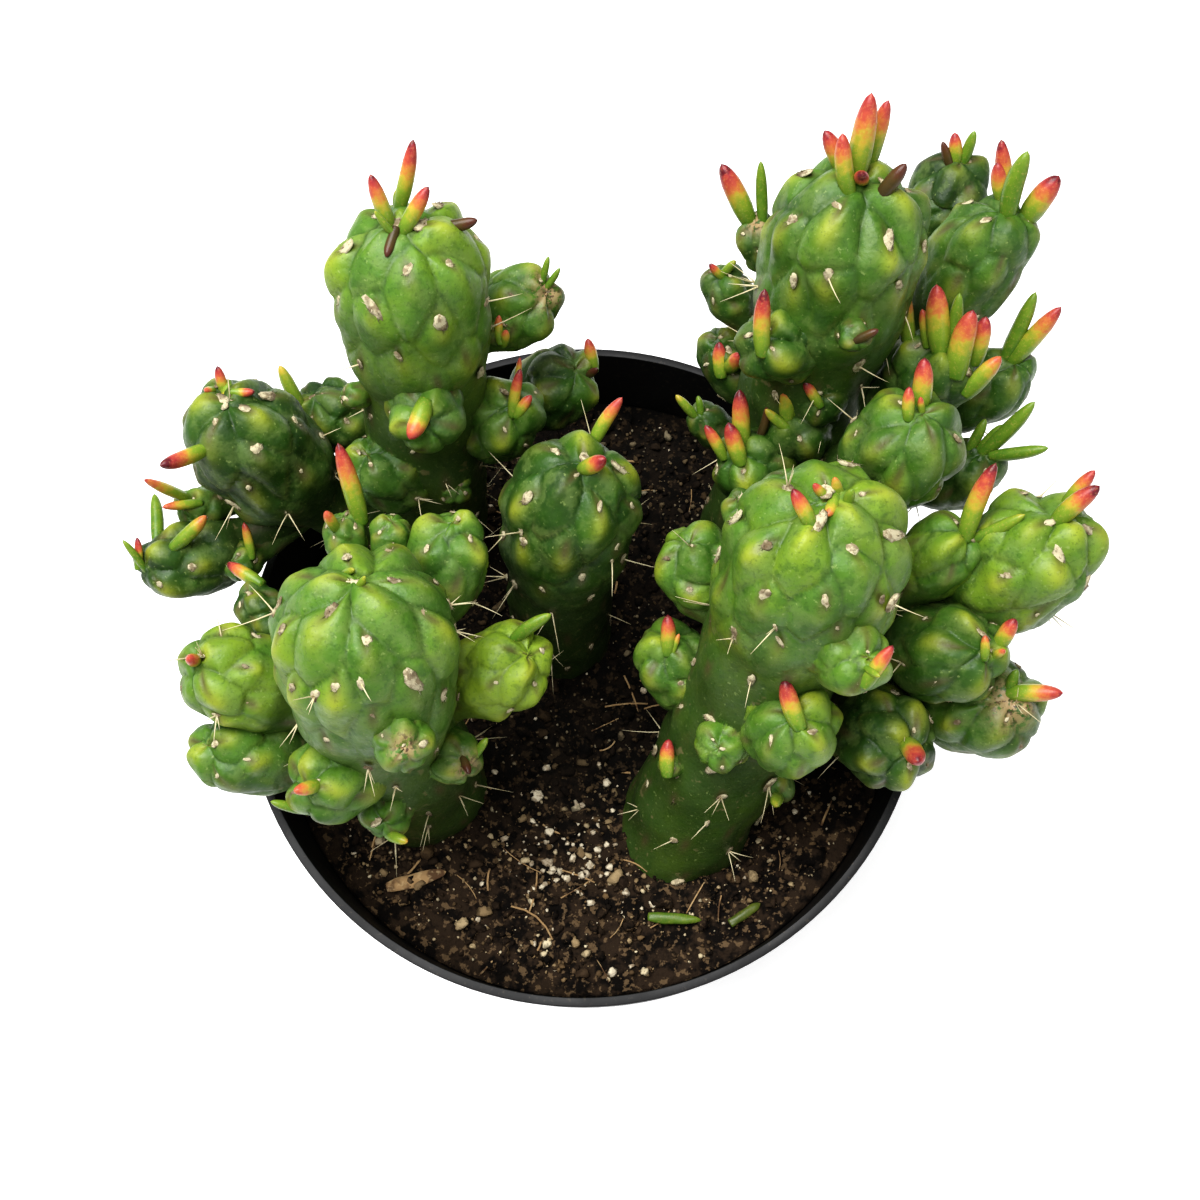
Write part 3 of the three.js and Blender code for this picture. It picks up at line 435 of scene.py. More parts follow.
def on_skin(part, run, angle, rise):
    """Points on a shoot at a run down from the tip and an angle round it, and their normals."""
    back, wide = outline(part, run)
    back_above, wide_above = outline(part, np.maximum(run - NUDGE, 0))
    back_below, wide_below = outline(part, run + NUDGE)
    slope = np.arctan2(wide_below - wide_above, back_below - back_above + 1e-9)[..., None]
    centre, along, across, side = station_at(part, back)
    turn = angle[..., None]
    outward = across * np.cos(turn) + side * np.sin(turn)
    normal = outward * np.cos(slope) + along * np.sin(slope)
    return centre + outward * wide[..., None] + normal * rise[..., None], normal, along


for part in SHOOTS:
    lay_axis(part)
print("longest shoot", round(max(part["length"] for part in SHOOTS), 3), "m")

# %% [markdown]
# ## Where the knobs stand
# The skin is covered with knobs, the swollen leaf bases of the plant. They follow the spiral that
# most plants use: each new one is turned by the golden angle from the one before it, and lies so
# much further down that every knob gets the same share of the skin. So only a few of them meet at
# the tip, with creases between them like those of a bell pepper. A seeded draw shifts them a
# little, because nothing that grows is quite even.

# %% Where the knobs stand
GOLDEN_ANGLE = math.pi * (3 - math.sqrt(5))
KNOB_STRETCH = 1.8
KNOB_SHARE = 100 * MM ** 2
KNOB_GROWTH = 0.15
FEWEST_KNOBS = 3.6
FIRST_KNOB = 0.55
KNOB_DRIFT = 0.16
RUN_SAMPLES = 400
NARROWEST = 2 * MM
TOP_KNOB = 1.2 * MM
SWELL = (0.65, 1.2)


def lay_knobs(part, seed):
    draw = np.random.default_rng(seed)
    area = min(KNOB_SHARE + KNOB_GROWTH * part["radius"] ** 2,
               TURN * part["radius"] ** 2 / FEWEST_KNOBS)
    runs = np.linspace(0, part["length"] + part["radius"], RUN_SAMPLES)
    wide = outline(part, runs)[1]
    covered = np.cumsum(TURN * wide) * runs[1] / area
    order = np.arange(int(covered[-1]) + 1)
    run = np.interp(order + FIRST_KNOB, covered, runs)
    cell = math.sqrt(area / KNOB_STRETCH)
    run = np.maximum(run + draw.uniform(-KNOB_DRIFT, KNOB_DRIFT, len(run)) * cell, TOP_KNOB)
    local = np.maximum(outline(part, run)[1], NARROWEST)
    angle = draw.uniform(0, TURN) + order * GOLDEN_ANGLE
    angle = angle + draw.uniform(-KNOB_DRIFT, KNOB_DRIFT, len(run)) * cell / local
    part["knobs"] = {"run": run, "angle": angle, "cell": cell, "seed": seed,
                     "swell": draw.uniform(*SWELL, len(run))}


for seed, part in enumerate(SHOOTS, 101):
    lay_knobs(part, seed)
print("knobs in all:", sum(len(part["knobs"]["run"]) for part in SHOOTS))


# %% [markdown]
# ## Which knob a point belongs to
# For each point of the skin the two nearest knobs are found, measured along the skin, with the
# way down counted short so that the knobs come out longer than wide. A point belongs to the
# nearest one, and halfway between the two runs the crease. Before that the place is warped by a
# slow noise, so that creases wander instead of running straight.

# %% The nearest knobs
WARP = 0.16
WARP_SIZE = 0.7
WARP_WIDTH = 0.4


def warped(part, run, angle):
    """The run and angle of a point on the skin, shifted by a slow noise."""
    knobs = part["knobs"]
    spots = np.stack([np.cos(angle), np.sin(angle), run / part["radius"]], -1)
    shift = WARP * knobs["cell"]
    run = run + KNOB_STRETCH * shift * noise_at(spots, WARP_SIZE, knobs["seed"])
    wide = np.maximum(outline(part, run)[1], WARP_WIDTH * part["radius"])
    return run, angle + shift * noise_at(spots, WARP_SIZE, knobs["seed"] + 500) / wide


def nearest_knobs(part, run, angle):
    """How far each point is from its knob, down and sideways, and from the next crease."""
    knobs = part["knobs"]
    run, angle = warped(part, run, angle)
    wide, knob_wide = outline(part, run)[1], outline(part, knobs["run"])[1]
    down = (run[:, None] - knobs["run"]) / KNOB_STRETCH
    turn = (angle[:, None] - knobs["angle"] + math.pi) % TURN - math.pi
    sideways = 2 * np.sqrt(wide[:, None] * knob_wide) * np.sin(turn / 2)
    distance = np.hypot(down, sideways)
    every = np.arange(len(run))
    first = np.argmin(distance, axis=1)
    nearest = distance[every, first].copy()
    distance[every, first] = np.inf
    crease = (np.min(distance, axis=1) - nearest) / 2
    cell = knobs["cell"]
    return down[every, first] / cell, sideways[every, first] / cell, crease / cell, \
        knobs["swell"][first]


# %% [markdown]
# ## How high the skin stands
# A young knob is a lobe that rises steeply out of its crease, and an old one a flat scale. Each is
# highest near its upper end, in a fresh chin, and from there a keel runs down to its lower tip.
# Just above the chin lies the small pit that holds the wool. All of it is bold on the crown and
# faint on the old trunk.

# %% How high the skin stands
KNOB_HEIGHT = 0.29
FADED = 0.8
BOLD_SPAN = (1.4, 3.2)
YOUNG_SPAN = (0.5, 1.7)
# Over which run, in crown radii, the duller old skin and the painted shade away from the crown come
# in.
AGE_AND_SHADE_SPAN = (1.3, 4)
YOUNG_LOBE = 0.75
OLD_LOBE = 0.22
LOBE_SLOPE = 0.45
LOBE_POWER = 2.4
SCALE_RISE = 0.45
SCALE_SLOPE = 0.13
SCALE_LEVEL = 0.5
SCALE_TILT = 0.4
CHIN_RISE = 0.26
CHIN_PLACE = -0.14
CHIN_LENGTH = 0.24
CHIN_WIDTH = 0.28
CHIN_SHARPNESS = 1.6
KEEL_RISE = 0.1
KEEL_WIDTH = 0.14
KEEL_START = (-0.3, -0.1)
KEEL_END = (0.6, 0)
PIT_SHIFT = -0.34
PIT_WIDTH = 1.0 * MM
PIT_LENGTH = 1.5
PIT_DEPTH = 0.5 * MM
MID_HEIGHT = 0.5
TIP_DIP = 0.3
TIP_RUN = 0.4
# The next two set the painted shade in the creases: its width, and how much the old trunk keeps.
CREASE_WIDTH = 0.035
OLD_CREASE = 0.3
# The next three place the painted highlight along the upper edge of each old scale.
RIM_PLACE = 0.08
RIM_WIDTH = 0.05
RIM_SPAN = (0.1, 0.5)
# Which knobs swell enough to carry the painted highlight on their chins.
SWELL_SPAN = (0.6, 1.1)
MID_SWELL = 0.92
FRAY_LEVEL = 0.65
FRAY_SWING = 0.8
FRAY_SIZE = 0.5


def frayed(down, sideways, crease):
    """A fine noise that breaks up the lines of the creases."""
    spots = np.stack([down, sideways, crease], -1)
    return FRAY_LEVEL + FRAY_SWING * noise_at(spots, FRAY_SIZE, 3)


def knob_relief(part, run, angle):
    """The rise of the skin over the smooth outline, and masks that the colours use."""
    cell, reach = part["knobs"]["cell"], run / part["radius"]
    down, sideways, crease, swell = nearest_knobs(part, run, angle)
    bold = 1 - FADED * smooth_step(reach, *BOLD_SPAN)
    young = 1 - smooth_step(reach, *YOUNG_SPAN)
    lobe = (1 - (1 - np.clip(crease / LOBE_SLOPE, 0, 1)) ** LOBE_POWER) * swell
    scale = 1 - (1 - np.clip(crease / SCALE_SLOPE, 0, 1)) ** 2
    scale = SCALE_RISE * scale * (SCALE_LEVEL + SCALE_TILT * down)
    chin = bump_of(down - CHIN_PLACE, CHIN_LENGTH) * bump_of(sideways, CHIN_WIDTH)
    keel = bump_of(sideways, KEEL_WIDTH) * smooth_step(down, *KEEL_START)
    keel = keel * smooth_step(down, *KEEL_END)
    pit = bump_of(np.hypot((down - PIT_SHIFT) * cell / PIT_LENGTH, sideways * cell), PIT_WIDTH)
    height = young * YOUNG_LOBE * lobe + (1 - young) * (OLD_LOBE * lobe + scale)
    height = height + CHIN_RISE * chin * swell + KEEL_RISE * keel
    slack = smooth_step(run, 0, TIP_RUN * cell)
    rise = cell * KNOB_HEIGHT * ((height - MID_HEIGHT) * bold * slack - TIP_DIP * (1 - slack))
    fray = frayed(down, sideways, crease) * bold
    # The masks below hold painted light next to real colour: painted highlights on the chins and on
    # the upper edges of old scales, painted shade in the creases, and away from the crown both
    # duller old skin and painted shade.
    rim = bump_of(crease - RIM_PLACE, RIM_WIDTH) * smooth_step(down, *RIM_SPAN) * (1 - young)
    crease_shade = bump_of(crease, CREASE_WIDTH) * (OLD_CREASE + (1 - OLD_CREASE) * young)
    masks = {"crease": np.clip(crease_shade * fray, 0, 1), "rim": np.clip(rim * fray, 0, 1),
             "chin": chin ** CHIN_SHARPNESS * bold * smooth_step(swell, *SWELL_SPAN),
             "pit": pit, "hue": swell - MID_SWELL, "age": smooth_step(reach, *AGE_AND_SHADE_SPAN)}
    return rise - PIT_DEPTH * pit * bold, masks


big_cell = SHOOTS[0]["knobs"]["cell"]
print("relief of a big knob:", round(KNOB_HEIGHT * big_cell / MM, 1), "mm")

# %% [markdown]
# ## Building one shoot
# A sphere is a good start for a shoot, because it is closed and its lines run the way the skin
# grows: latitude becomes the run down from the tip, and longitude the angle round the axis. The
# rings of the sphere are spread so that the crown, where the detail is, gets most of them.
# Shapes that a formula describes, as a honeycomb of knobs is, are set point by point. The
# lumpiness on top comes from a smooth noise in the shoot's own place.

# %% Building one shoot
CROWN_GRAIN = 0.72 * MM
TRUNK_GRAIN = 1.6 * MM
GRAIN_SPAN = (2, 3.5)
FIRST_RING = 0.35 * MM
FEWEST_SEGMENTS = 30
LUMPS = 0.08
LUMP_SIZE = 0.7
SCAB_WIDTH = 0.45
MASKS = ("tone", "hue", "crease", "rim", "chin", "pit", "age", "scab")


def ring_runs(part):
    dome, dome_run = crown_of(part)
    whole = part["length"] - dome + dome_run
    runs, run = [], FIRST_RING
    while run < whole:
        runs.append(run)
        old = smooth_step(run / part["radius"], *GRAIN_SPAN)
        run += CROWN_GRAIN + (TRUNK_GRAIN - CROWN_GRAIN) * old
    return np.array(runs + [whole, whole])


def sphere_lines(piece, rings, segments):
    """The ring, counted from the top pole, and the angle of each point of a new sphere."""
    points = points_of(piece)
    ring = np.round(np.arccos(np.clip(points[:, 2], -1, 1)) / math.pi * rings).astype(int)
    angle = np.arctan2(points[:, 1], points[:, 0])
    return ring, np.round(angle / TURN * segments) * TURN / segments


def build_shoot(part, name):
    runs = ring_runs(part)
    segments = max(FEWEST_SEGMENTS, round(TURN * part["radius"] / CROWN_GRAIN / 2) * 2)
    rings = len(runs) + 1
    select_nothing()
    bpy.ops.mesh.primitive_uv_sphere_add(segments=segments, ring_count=rings, radius=1)
    piece = name_new_piece(name)
    ring, angle = sphere_lines(piece, rings, segments)
    run = np.interp(ring, np.arange(rings + 1), np.r_[0, runs, runs[-1]])
    rise, masks = knob_relief(part, run, angle)
    points, normal, _ = on_skin(part, run, angle, rise)
    lumps = noise_at(points, LUMP_SIZE * part["radius"], part["knobs"]["seed"])
    points += normal * (LUMPS * part["radius"] * lumps)[:, None]
    foot = ring == rings
    points[foot] = station_at(part, np.array(part["length"]))[0]
    move_points(piece, points)
    write_mask(piece, "kept", np.ones(len(points)))
    # Tone: how fresh the skin of the shoot is, and for shoots deep in the clump also painted shade.
    masks["tone"] = np.full(len(points), part["tone"])
    masks["scab"] = bump_of(run, SCAB_WIDTH * part["radius"]) * part["scabbed"]
    for mask in MASKS:
        write_mask(piece, mask, masks[mask])
    return piece


# %% [markdown]
# ## Growing the shoots of a stem together
# A Boolean union joins the shoots of a stem into one closed skin, so that nothing of them is left
# inside. The new points along the seams don't know the masks, so each takes them from its
# neighbours that were there before.

# %% Growing the shoots together
SEAM_ROUNDS = 6
SHARP_SEAM = 70


def fill_seams(piece):
    ends = np.empty(2 * len(piece.data.edges), np.int32)
    piece.data.edges.foreach_get("vertices", ends)
    ends = ends.reshape(-1, 2)
    known = read_mask(piece, "kept") > 0.5
    masks = {name: read_mask(piece, name) for name in MASKS}
    for _ in range(SEAM_ROUNDS):
        one, other = ends.T
        link = np.r_[ends[known[one] & ~known[other]], ends[known[other] & ~known[one]][:, ::-1]]
        if not len(link):
            break
        count = np.bincount(link[:, 1], minlength=len(known))
        fresh = count > 0
        for values in masks.values():
            total = np.bincount(link[:, 1], values[link[:, 0]], minlength=len(known))
            values[fresh] = total[fresh] / count[fresh]
        known |= fresh
    for name, values in masks.items():
        piece.data.attributes[name].data.foreach_set("value", values.astype(np.float32))


def grow_together(name, pieces):
    body, offsets = pieces[0], pieces[1:]
    if offsets:
        group = bpy.data.collections.new(name + "_offsets")
        bpy.context.scene.collection.children.link(group)
        for offset in offsets:
            group.objects.link(offset)
        apply_modifier(body, "BOOLEAN", operation="UNION", operand_type="COLLECTION",
                       collection=group, solver="MANIFOLD")
        for offset in offsets:
            bpy.data.objects.remove(offset)
        bpy.data.collections.remove(group)
        fill_seams(body)
    work_on(body)
    bpy.ops.object.shade_smooth_by_angle(angle=math.radians(SHARP_SEAM))
    return body


stems = {}
for name, parts in STEMS.items():
    shoots = [build_shoot(part, f"{name}_shoot_{i}") for i, part in enumerate(parts)]
    stems[name] = grow_together(name, shoots)
    stems[name].name = name + "_skin"
    print(name, len(stems[name].data.polygons), "faces")


# %% [markdown]
# ## Effects that several finishes share
# Two effects come back in many finishes, so each is a node group that is built once. Both start
# with noise of a chosen size. Speckle turns it into a fine uneven mask, and grain into a bump.

# %% Shared effects
def new_effect(name, inputs, output, kind, detail, roughness):
    group = bpy.data.node_groups.new(name, "ShaderNodeTree")
    for label in inputs:
        group.interface.new_socket(label, in_out="INPUT", socket_type="NodeSocketFloat")
    group.interface.new_socket(output, in_out="OUTPUT", socket_type=kind)
    inside, out = group.nodes.new("NodeGroupInput"), group.nodes.new("NodeGroupOutput")
    place = group.nodes.new("ShaderNodeTexCoord")
    cloud = group.nodes.new("ShaderNodeTexNoise")
    cloud.inputs["Detail"].default_value = detail
    cloud.inputs["Roughness"].default_value = roughness
    group.links.new(place.outputs["Object"], cloud.inputs["Vector"])
    group.links.new(inside.outputs["Size"], cloud.inputs["Scale"])
    return group, inside, cloud, out


def build_speckle():
    group, inside, cloud, out = new_effect("speckle", ("Size", "From", "To"), "Mask",
                                           "NodeSocketFloat", 3, 0.6)
    spread = group.nodes.new("ShaderNodeMapRange")
    spread.interpolation_type = "SMOOTHSTEP"
    group.links.new(cloud.outputs["Fac"], spread.inputs["Value"])
    group.links.new(inside.outputs["From"], spread.inputs["From Min"])
    group.links.new(inside.outputs["To"], spread.inputs["From Max"])
    group.links.new(spread.outputs["Result"], out.inputs["Mask"])
    return group


def build_grain():
    group, inside, cloud, out = new_effect("grain", ("Size", "Strength", "Depth"), "Normal",
                                           "NodeSocketVector", 4, 0.5)
    bump = group.nodes.new("ShaderNodeBump")
    group.links.new(cloud.outputs["Fac"], bump.inputs["Height"])
    group.links.new(inside.outputs["Strength"], bump.inputs["Strength"])
    group.links.new(inside.outputs["Depth"], bump.inputs["Distance"])
    group.links.new(bump.outputs["Normal"], out.inputs["Normal"])
    return group


SPECKLE = build_speckle()
GRAIN = build_grain()
print("groups:", SPECKLE.name, GRAIN.name)


# %% [markdown]
# ## Mixing a finish
# A finish is built like paint: a ground colour or a ramp of colours, and then layers, each laid
# over the last where its mask says so. A mask is written as the name of a mask on the piece, as a
# speckle of a size between two levels, or as a plain share, and several of them are multiplied.
# Colours are written as they are seen on a screen, and turned into light values.

# %% The paint box
def light_values(colour):
    def linear(c):
        return c / 12.92 if c <= 0.04045 else ((c + 0.055) / 1.055) ** 2.4
    return (*[linear(c / 255) for c in colour], 1)


class Finish:
    """A material with one Principled shader, painted layer by layer."""

    def __init__(self, name, shader_values, ground=None):
        self.material = bpy.data.materials.new(name)
        self.material.use_nodes = True
        self.tree = self.material.node_tree
        self.shader = self.tree.nodes["Principled BSDF"]
        for socket, value in shader_values.items():
            self.shader.inputs[socket].default_value = value
        self.colour = ground and light_values(ground)

    def put(self, value, socket):
        """Links an output to a socket, or sets the socket to a plain value."""
        if isinstance(value, bpy.types.NodeSocket):
            self.tree.links.new(value, socket)
        elif value is not None:
            socket.default_value = value

    def effect(self, group, values):
        made = self.tree.nodes.new("ShaderNodeGroup")
        made.node_tree = group
        for socket, value in zip(made.inputs, values):
            socket.default_value = value
        return made.outputs[0]

    def maths(self, operation, one, other):
        made = self.tree.nodes.new("ShaderNodeMath")
        made.operation = operation
        self.put(one, made.inputs[0])
        self.put(other, made.inputs[1])
        return made.outputs[0]

    def mask(self, *parts):
        product = None
        for part in parts:
            if isinstance(part, str):
                made = self.tree.nodes.new("ShaderNodeAttribute")
                made.attribute_name = part
                part = made.outputs["Fac"]
            elif isinstance(part, tuple):
                part = self.effect(SPECKLE, part)
            product = part if product is None else self.maths("MULTIPLY", product, part)
        return product

    def spread(self, speckle, low, high):
        made = self.tree.nodes.new("ShaderNodeMapRange")
        self.put(self.mask(speckle), made.inputs["Value"])
        made.inputs["To Min"].default_value = low
        made.inputs["To Max"].default_value = high
        return made.outputs["Result"]

    def ramp(self, value, *stops):
        made = self.tree.nodes.new("ShaderNodeValToRGB")
        band = made.color_ramp
        while len(band.elements) < len(stops):
            band.elements.new(0.5)
        for element, (place, colour) in zip(band.elements, stops):
            element.position = place
            element.color = light_values(colour)
        self.put(value, made.inputs["Fac"])
        self.colour = made.outputs["Color"]

    def paint(self, *layers):
        for colour, *masks in layers:
            made = self.tree.nodes.new("ShaderNodeMix")
            made.data_type = "RGBA"
            factor, under, over = (made.inputs[i] for i in (0, 6, 7))
            self.put(self.mask(*masks), factor)
            self.put(self.colour, under)
            self.put(light_values(colour), over)
            self.colour = made.outputs[2]

    def sheen(self, speckle, low, high):
        self.put(self.spread(speckle, low, high), self.shader.inputs["Roughness"])

    def done(self, size=None, strength=0, depth=0):
        """Links what was painted, with a grain of a size and of a depth in millimetres."""
        self.put(self.colour, self.shader.inputs["Base Color"])
        if size:
            grain = self.effect(GRAIN, (size, strength, depth * MM))
            self.put(grain, self.shader.inputs["Normal"])
        print("finish", self.material.name, len(self.tree.nodes), "nodes")
        return self.material


# %% [markdown]
# ## The skin of the stems
# The skin is waxy and half glossy. Its ground colour runs from the deep green of old shoots to
# the yellow-green of young ones, and its dark end also paints shade onto shoots deep in the clump.
# The chins of the knobs and the upper edges of old scales carry a painted highlight, and the
# creases painted shade. Away from the crown the skin is darker, partly its duller old skin and
# partly painted shade, and the old trunk is greyish, with corky spots. Soft patches and fine dark
# dots break it up.

# %% The skin finish
def cactus_skin():
    skin = Finish("cactus_skin", {"IOR": 1.42})
    patches = skin.spread((90, 0.25, 0.75), -0.14, 0.14)
    # Ground colour from each shoot's tone, whose dark end is also painted shade deep in the clump.
    fresh = skin.maths("ADD", skin.mask("tone"), patches)
    fresh = skin.maths("ADD", fresh, skin.mask("hue", 0.35))
    skin.ramp(fresh, (0, (30, 56, 16)), (0.3, (56, 92, 28)), (0.55, (84, 124, 40)),
              (0.9, (134, 160, 46)))
    skin.paint(((116, 138, 74), (230, 0.45, 0.62), 0.38),
               ((42, 82, 22), (330, 0.54, 0.66), 0.4),
               # Painted highlight: a pale yellow-green on the chin at the upper end of each knob.
               ((178, 188, 56), "chin", 0.66),
               # Darker and duller away from the crown: partly the older skin, partly painted shade.
               ((50, 70, 28), "age", 0.82),
               # Painted highlight along the upper edge of each old scale.
               ((168, 178, 92), "rim", 0.5),
               # Painted shade in the creases between the knobs.
               ((28, 50, 14), "crease", 0.8),
               ((40, 70, 20), (1500, 0.56, 0.66), 0.3),
               ((166, 184, 112), (1000, 0.62, 0.72), 0.35),
               ((132, 122, 84), (260, 0.63, 0.7), "age", 0.6),
               ((84, 74, 46), "pit", 0.8),
               ((168, 142, 104), "scab", (700, 0.4, 0.5)),
               ((74, 54, 36), "scab", (900, 0.56, 0.6)))
    skin.sheen((300, 0.3, 0.7), 0.36, 0.6)
    return skin.done(1100, 0.45, 0.3)


SKIN = cactus_skin()
for name, piece in stems.items():
    finish_piece(piece, SKIN, "cactus_skin", name)


# %% [markdown]
# ## One leaf, modelled by hand
# The leaves are short fleshy awls, round in section, thickest below the middle, with a blunt
# tip. All of them are the same form at other sizes, so one is modelled and then copied. It
# starts as a sphere whose rings are resized one after the other, as on a potter's wheel.

# %% One leaf
LEAF_PROFILE = [(0.0, 0.7), (0.12, 0.86), (0.3, 1.0), (0.55, 0.99), (0.72, 0.9), (0.85, 0.7),
                (0.94, 0.46), (1.0, 0.0)]
LEAF_RINGS = 14
LEAF_SEGMENTS = 12


def ring_of(piece, ring, rings):
    """Selects one ring of a sphere in edit mode, counted from its lower pole."""
    height = -math.cos(math.pi * ring / rings)
    bpy.ops.mesh.select_all(action="DESELECT")
    end_edit()
    for vertex in piece.data.vertices:
        vertex.select = abs(vertex.co.z - height) < 0.001
    bpy.ops.object.mode_set(mode="EDIT")


def model_leaf():
    select_nothing()
    bpy.ops.mesh.primitive_uv_sphere_add(segments=LEAF_SEGMENTS, ring_count=LEAF_RINGS, radius=1)
    leaf = name_new_piece("leaf_form")
    edit_all()
    bpy.ops.mesh.select_mode(type="VERT")
    places, widths = zip(*LEAF_PROFILE)
    for ring in range(1, LEAF_RINGS):
        ring_of(leaf, ring, LEAF_RINGS)
        turned = math.pi * ring / LEAF_RINGS
        wide = np.interp((1 - math.cos(turned)) / 2, places, widths) / math.sin(turned)
        bpy.ops.transform.resize(value=(wide, wide, 1))
    end_edit()
    return leaf


def pattern_of(piece):
    """The points and faces of a modelled form, ready to be copied; the form itself goes."""
    points = points_of(piece)
    faces = [tuple(face.vertices) for face in piece.data.polygons]
    bpy.data.objects.remove(piece)
    return points, faces


LEAF_FORM = pattern_of(model_leaf())
print("leaf form:", len(LEAF_FORM[1]), "faces")


# %% [markdown]
# ## Copies of a form
# Many small things repeat: leaves, tufts of wool, spines, crumbs of soil. Each copy gets its own
# points, and all copies of a kind on a stem become one piece. Values such as the colour of a leaf
# go onto its points as masks.

# %% Copies of a form
def copies(name, form, placed, masks=None):
    """One piece from copies of a form; placed holds the points of each copy."""
    points, faces = form
    count = len(points)
    mesh = bpy.data.meshes.new(name)
    every = [tuple(i + number * count for i in face) for number in range(len(placed))
             for face in faces]
    mesh.from_pydata(np.concatenate(placed).tolist(), [], every)
    piece = bpy.data.objects.new(name, mesh)
    bpy.context.scene.collection.objects.link(piece)
    for label, values in (masks or {}).items():
        write_mask(piece, label, np.concatenate(values))
    work_on(piece)
    bpy.ops.object.shade_smooth()
    return piece


# %% The leaves of each stem
BLUSH = {"red": 1.0, "blushed": 1.1, "orange": 0.8, "yellow": 0.5, "green": 0.22, "dry": 0.9}
BLUSH_RANGE = 0.08
LEAF_ROOT = 1.5 * MM
LEAF_CURL = 0.12
LEAF_WAVE = 0.05
LEAF_SKEW = 0.37
FLATTEST_LEAF = 0.82


def place_leaf(part, leaf, draw):
    around, down, turn, lean, length, width, colour = leaf
    length, width = length * MM, width * MM
    run, angle = np.array(down / 90 * crown_of(part)[1]), np.radians(around)
    rise = knob_relief(part, run[None], np.array([angle]))[0][0]
    base = on_skin(part, run, np.array(angle), np.array(min(rise, 0.0)))[0]
    axis = {key: value[0] for key, value in part["axis"].items() if key != "back"}
    turned, leaned = math.radians(turn), math.radians(lean)
    outward = axis["across"] * math.cos(turned) + axis["side"] * math.sin(turned)
    way = axis["along"] * math.cos(leaned) + outward * math.sin(leaned)
    across = unit(np.cross(way, axis["side"] + LEAF_SKEW * axis["across"]))
    side = np.cross(way, across)
    t = (LEAF_FORM[0][:, 2:3] + 1) / 2
    flat = draw.uniform(FLATTEST_LEAF, 1)
    points = base + way * (t * (length + LEAF_ROOT) - LEAF_ROOT)
    points += axis["along"] * (LEAF_CURL * length * t ** 2)
    points += across * (LEAF_FORM[0][:, 0:1] * width / 2)
    points += side * (LEAF_FORM[0][:, 1:2] * flat * width / 2)
    points += across * draw.uniform(-LEAF_WAVE, LEAF_WAVE) * length * np.sin(math.pi * t)
    blush = BLUSH[colour] + draw.uniform(-BLUSH_RANGE, BLUSH_RANGE)
    return points, t[:, 0], np.full(len(t), blush), np.full(len(t), float(colour == "dry"))


leaves = {}
for name, parts in STEMS.items():
    draw = np.random.default_rng(len(parts))
    rows = [place_leaf(part, leaf, draw) for part in parts for leaf in part["leaves"]]
    placed, along, blush, dry = zip(*rows)
    leaves[name] = copies(name + "_leaves", LEAF_FORM, placed,
                          {"along": along, "blush": blush, "dry": dry})
    print(name, len(placed), "leaves")

# %% [markdown]
# ## The leaf finish
# Young leaves are green at the foot and turn yellow, orange and then red towards the tip, where
# the sun reaches. How far the red comes down is the blush of the leaf. So one ramp of colours is
# enough: it is read at the place along the leaf times the blush. Some leaves have dried up brown.

# %% The leaf finish
def leaf_finish():
    leaf = Finish("leaf_skin", {"Roughness": 0.34, "IOR": 1.42})
    cloud = leaf.spread((600, 0.3, 0.7), -0.07, 0.07)
    leaf.ramp(leaf.maths("ADD", leaf.mask("along", "blush"), cloud),
              (0, (82, 120, 34)), (0.38, (130, 154, 48)), (0.54, (186, 166, 60)),
              (0.66, (200, 124, 64)), (0.78, (188, 84, 64)), (0.91, (160, 54, 56)),
              (1, (100, 30, 40)))
    leaf.paint(((240, 190, 120), (2200, 0.55, 0.66), 0.16), ((66, 42, 30), "dry", 0.92))
    return leaf.done(1800, 0.2, 0.15)


LEAF_SKIN = leaf_finish()
for name, piece in leaves.items():
    finish_piece(piece, LEAF_SKIN, "leaf")


# %% [markdown]
# ## Wool and spines
# In the pit above each chin sits an areole, a small cushion of cream-white wool. Some carry a few
# thin straw-white spines. A wool cushion is modelled once, from a small sphere of triangles that
# is pulled about at random, with short hairs that stick out of it. A spine is a slender cone that
# bends a little.

# %% One tuft of wool and one spine
TUFT_SHAPE = (1, 0.8, 0.55)
TUFT_HAIRS = 9
TUFT_ROUGHNESS = 0.45
HAIR_LENGTH = 0.9
HAIR_FOOT = 0.35
SPINE_TIP = 0.12


def model_tuft():
    select_nothing()
    bpy.ops.mesh.primitive_ico_sphere_add(subdivisions=2, radius=1)
    tuft = name_new_piece("wool_form")
    edit_all()
    bpy.ops.transform.resize(value=TUFT_SHAPE)
    end_edit()
    points = points_of(tuft)
    rough = noise_at(points, 0.45, 3)[:, None]
    move_points(tuft, points * (1 + TUFT_ROUGHNESS * rough))
    return tuft


def add_hair(draw):
    middle = (0, 0, HAIR_LENGTH / 2)
    bpy.ops.mesh.primitive_cone_add(vertices=3, radius1=0.1, depth=HAIR_LENGTH, location=middle)
    hair = bpy.context.object
    tilt = Vector((draw.uniform(-1, 1), draw.uniform(-1, 1), draw.uniform(0.3, 1))).normalized()
    turn = Vector((0, 0, 1)).rotation_difference(tilt).to_matrix().to_4x4()
    hair.data.transform(turn @ Matrix.Translation(middle))
    hair.location = tilt * HAIR_FOOT
    return hair


def model_wool():
    draw = np.random.default_rng(12)
    tuft = model_tuft()
    select_nothing()
    hairs = [add_hair(draw) for _ in range(TUFT_HAIRS)]
    for piece in (*hairs, tuft):
        piece.select_set(True)
    bpy.context.view_layer.objects.active = tuft
    bpy.ops.object.join()
    return tuft


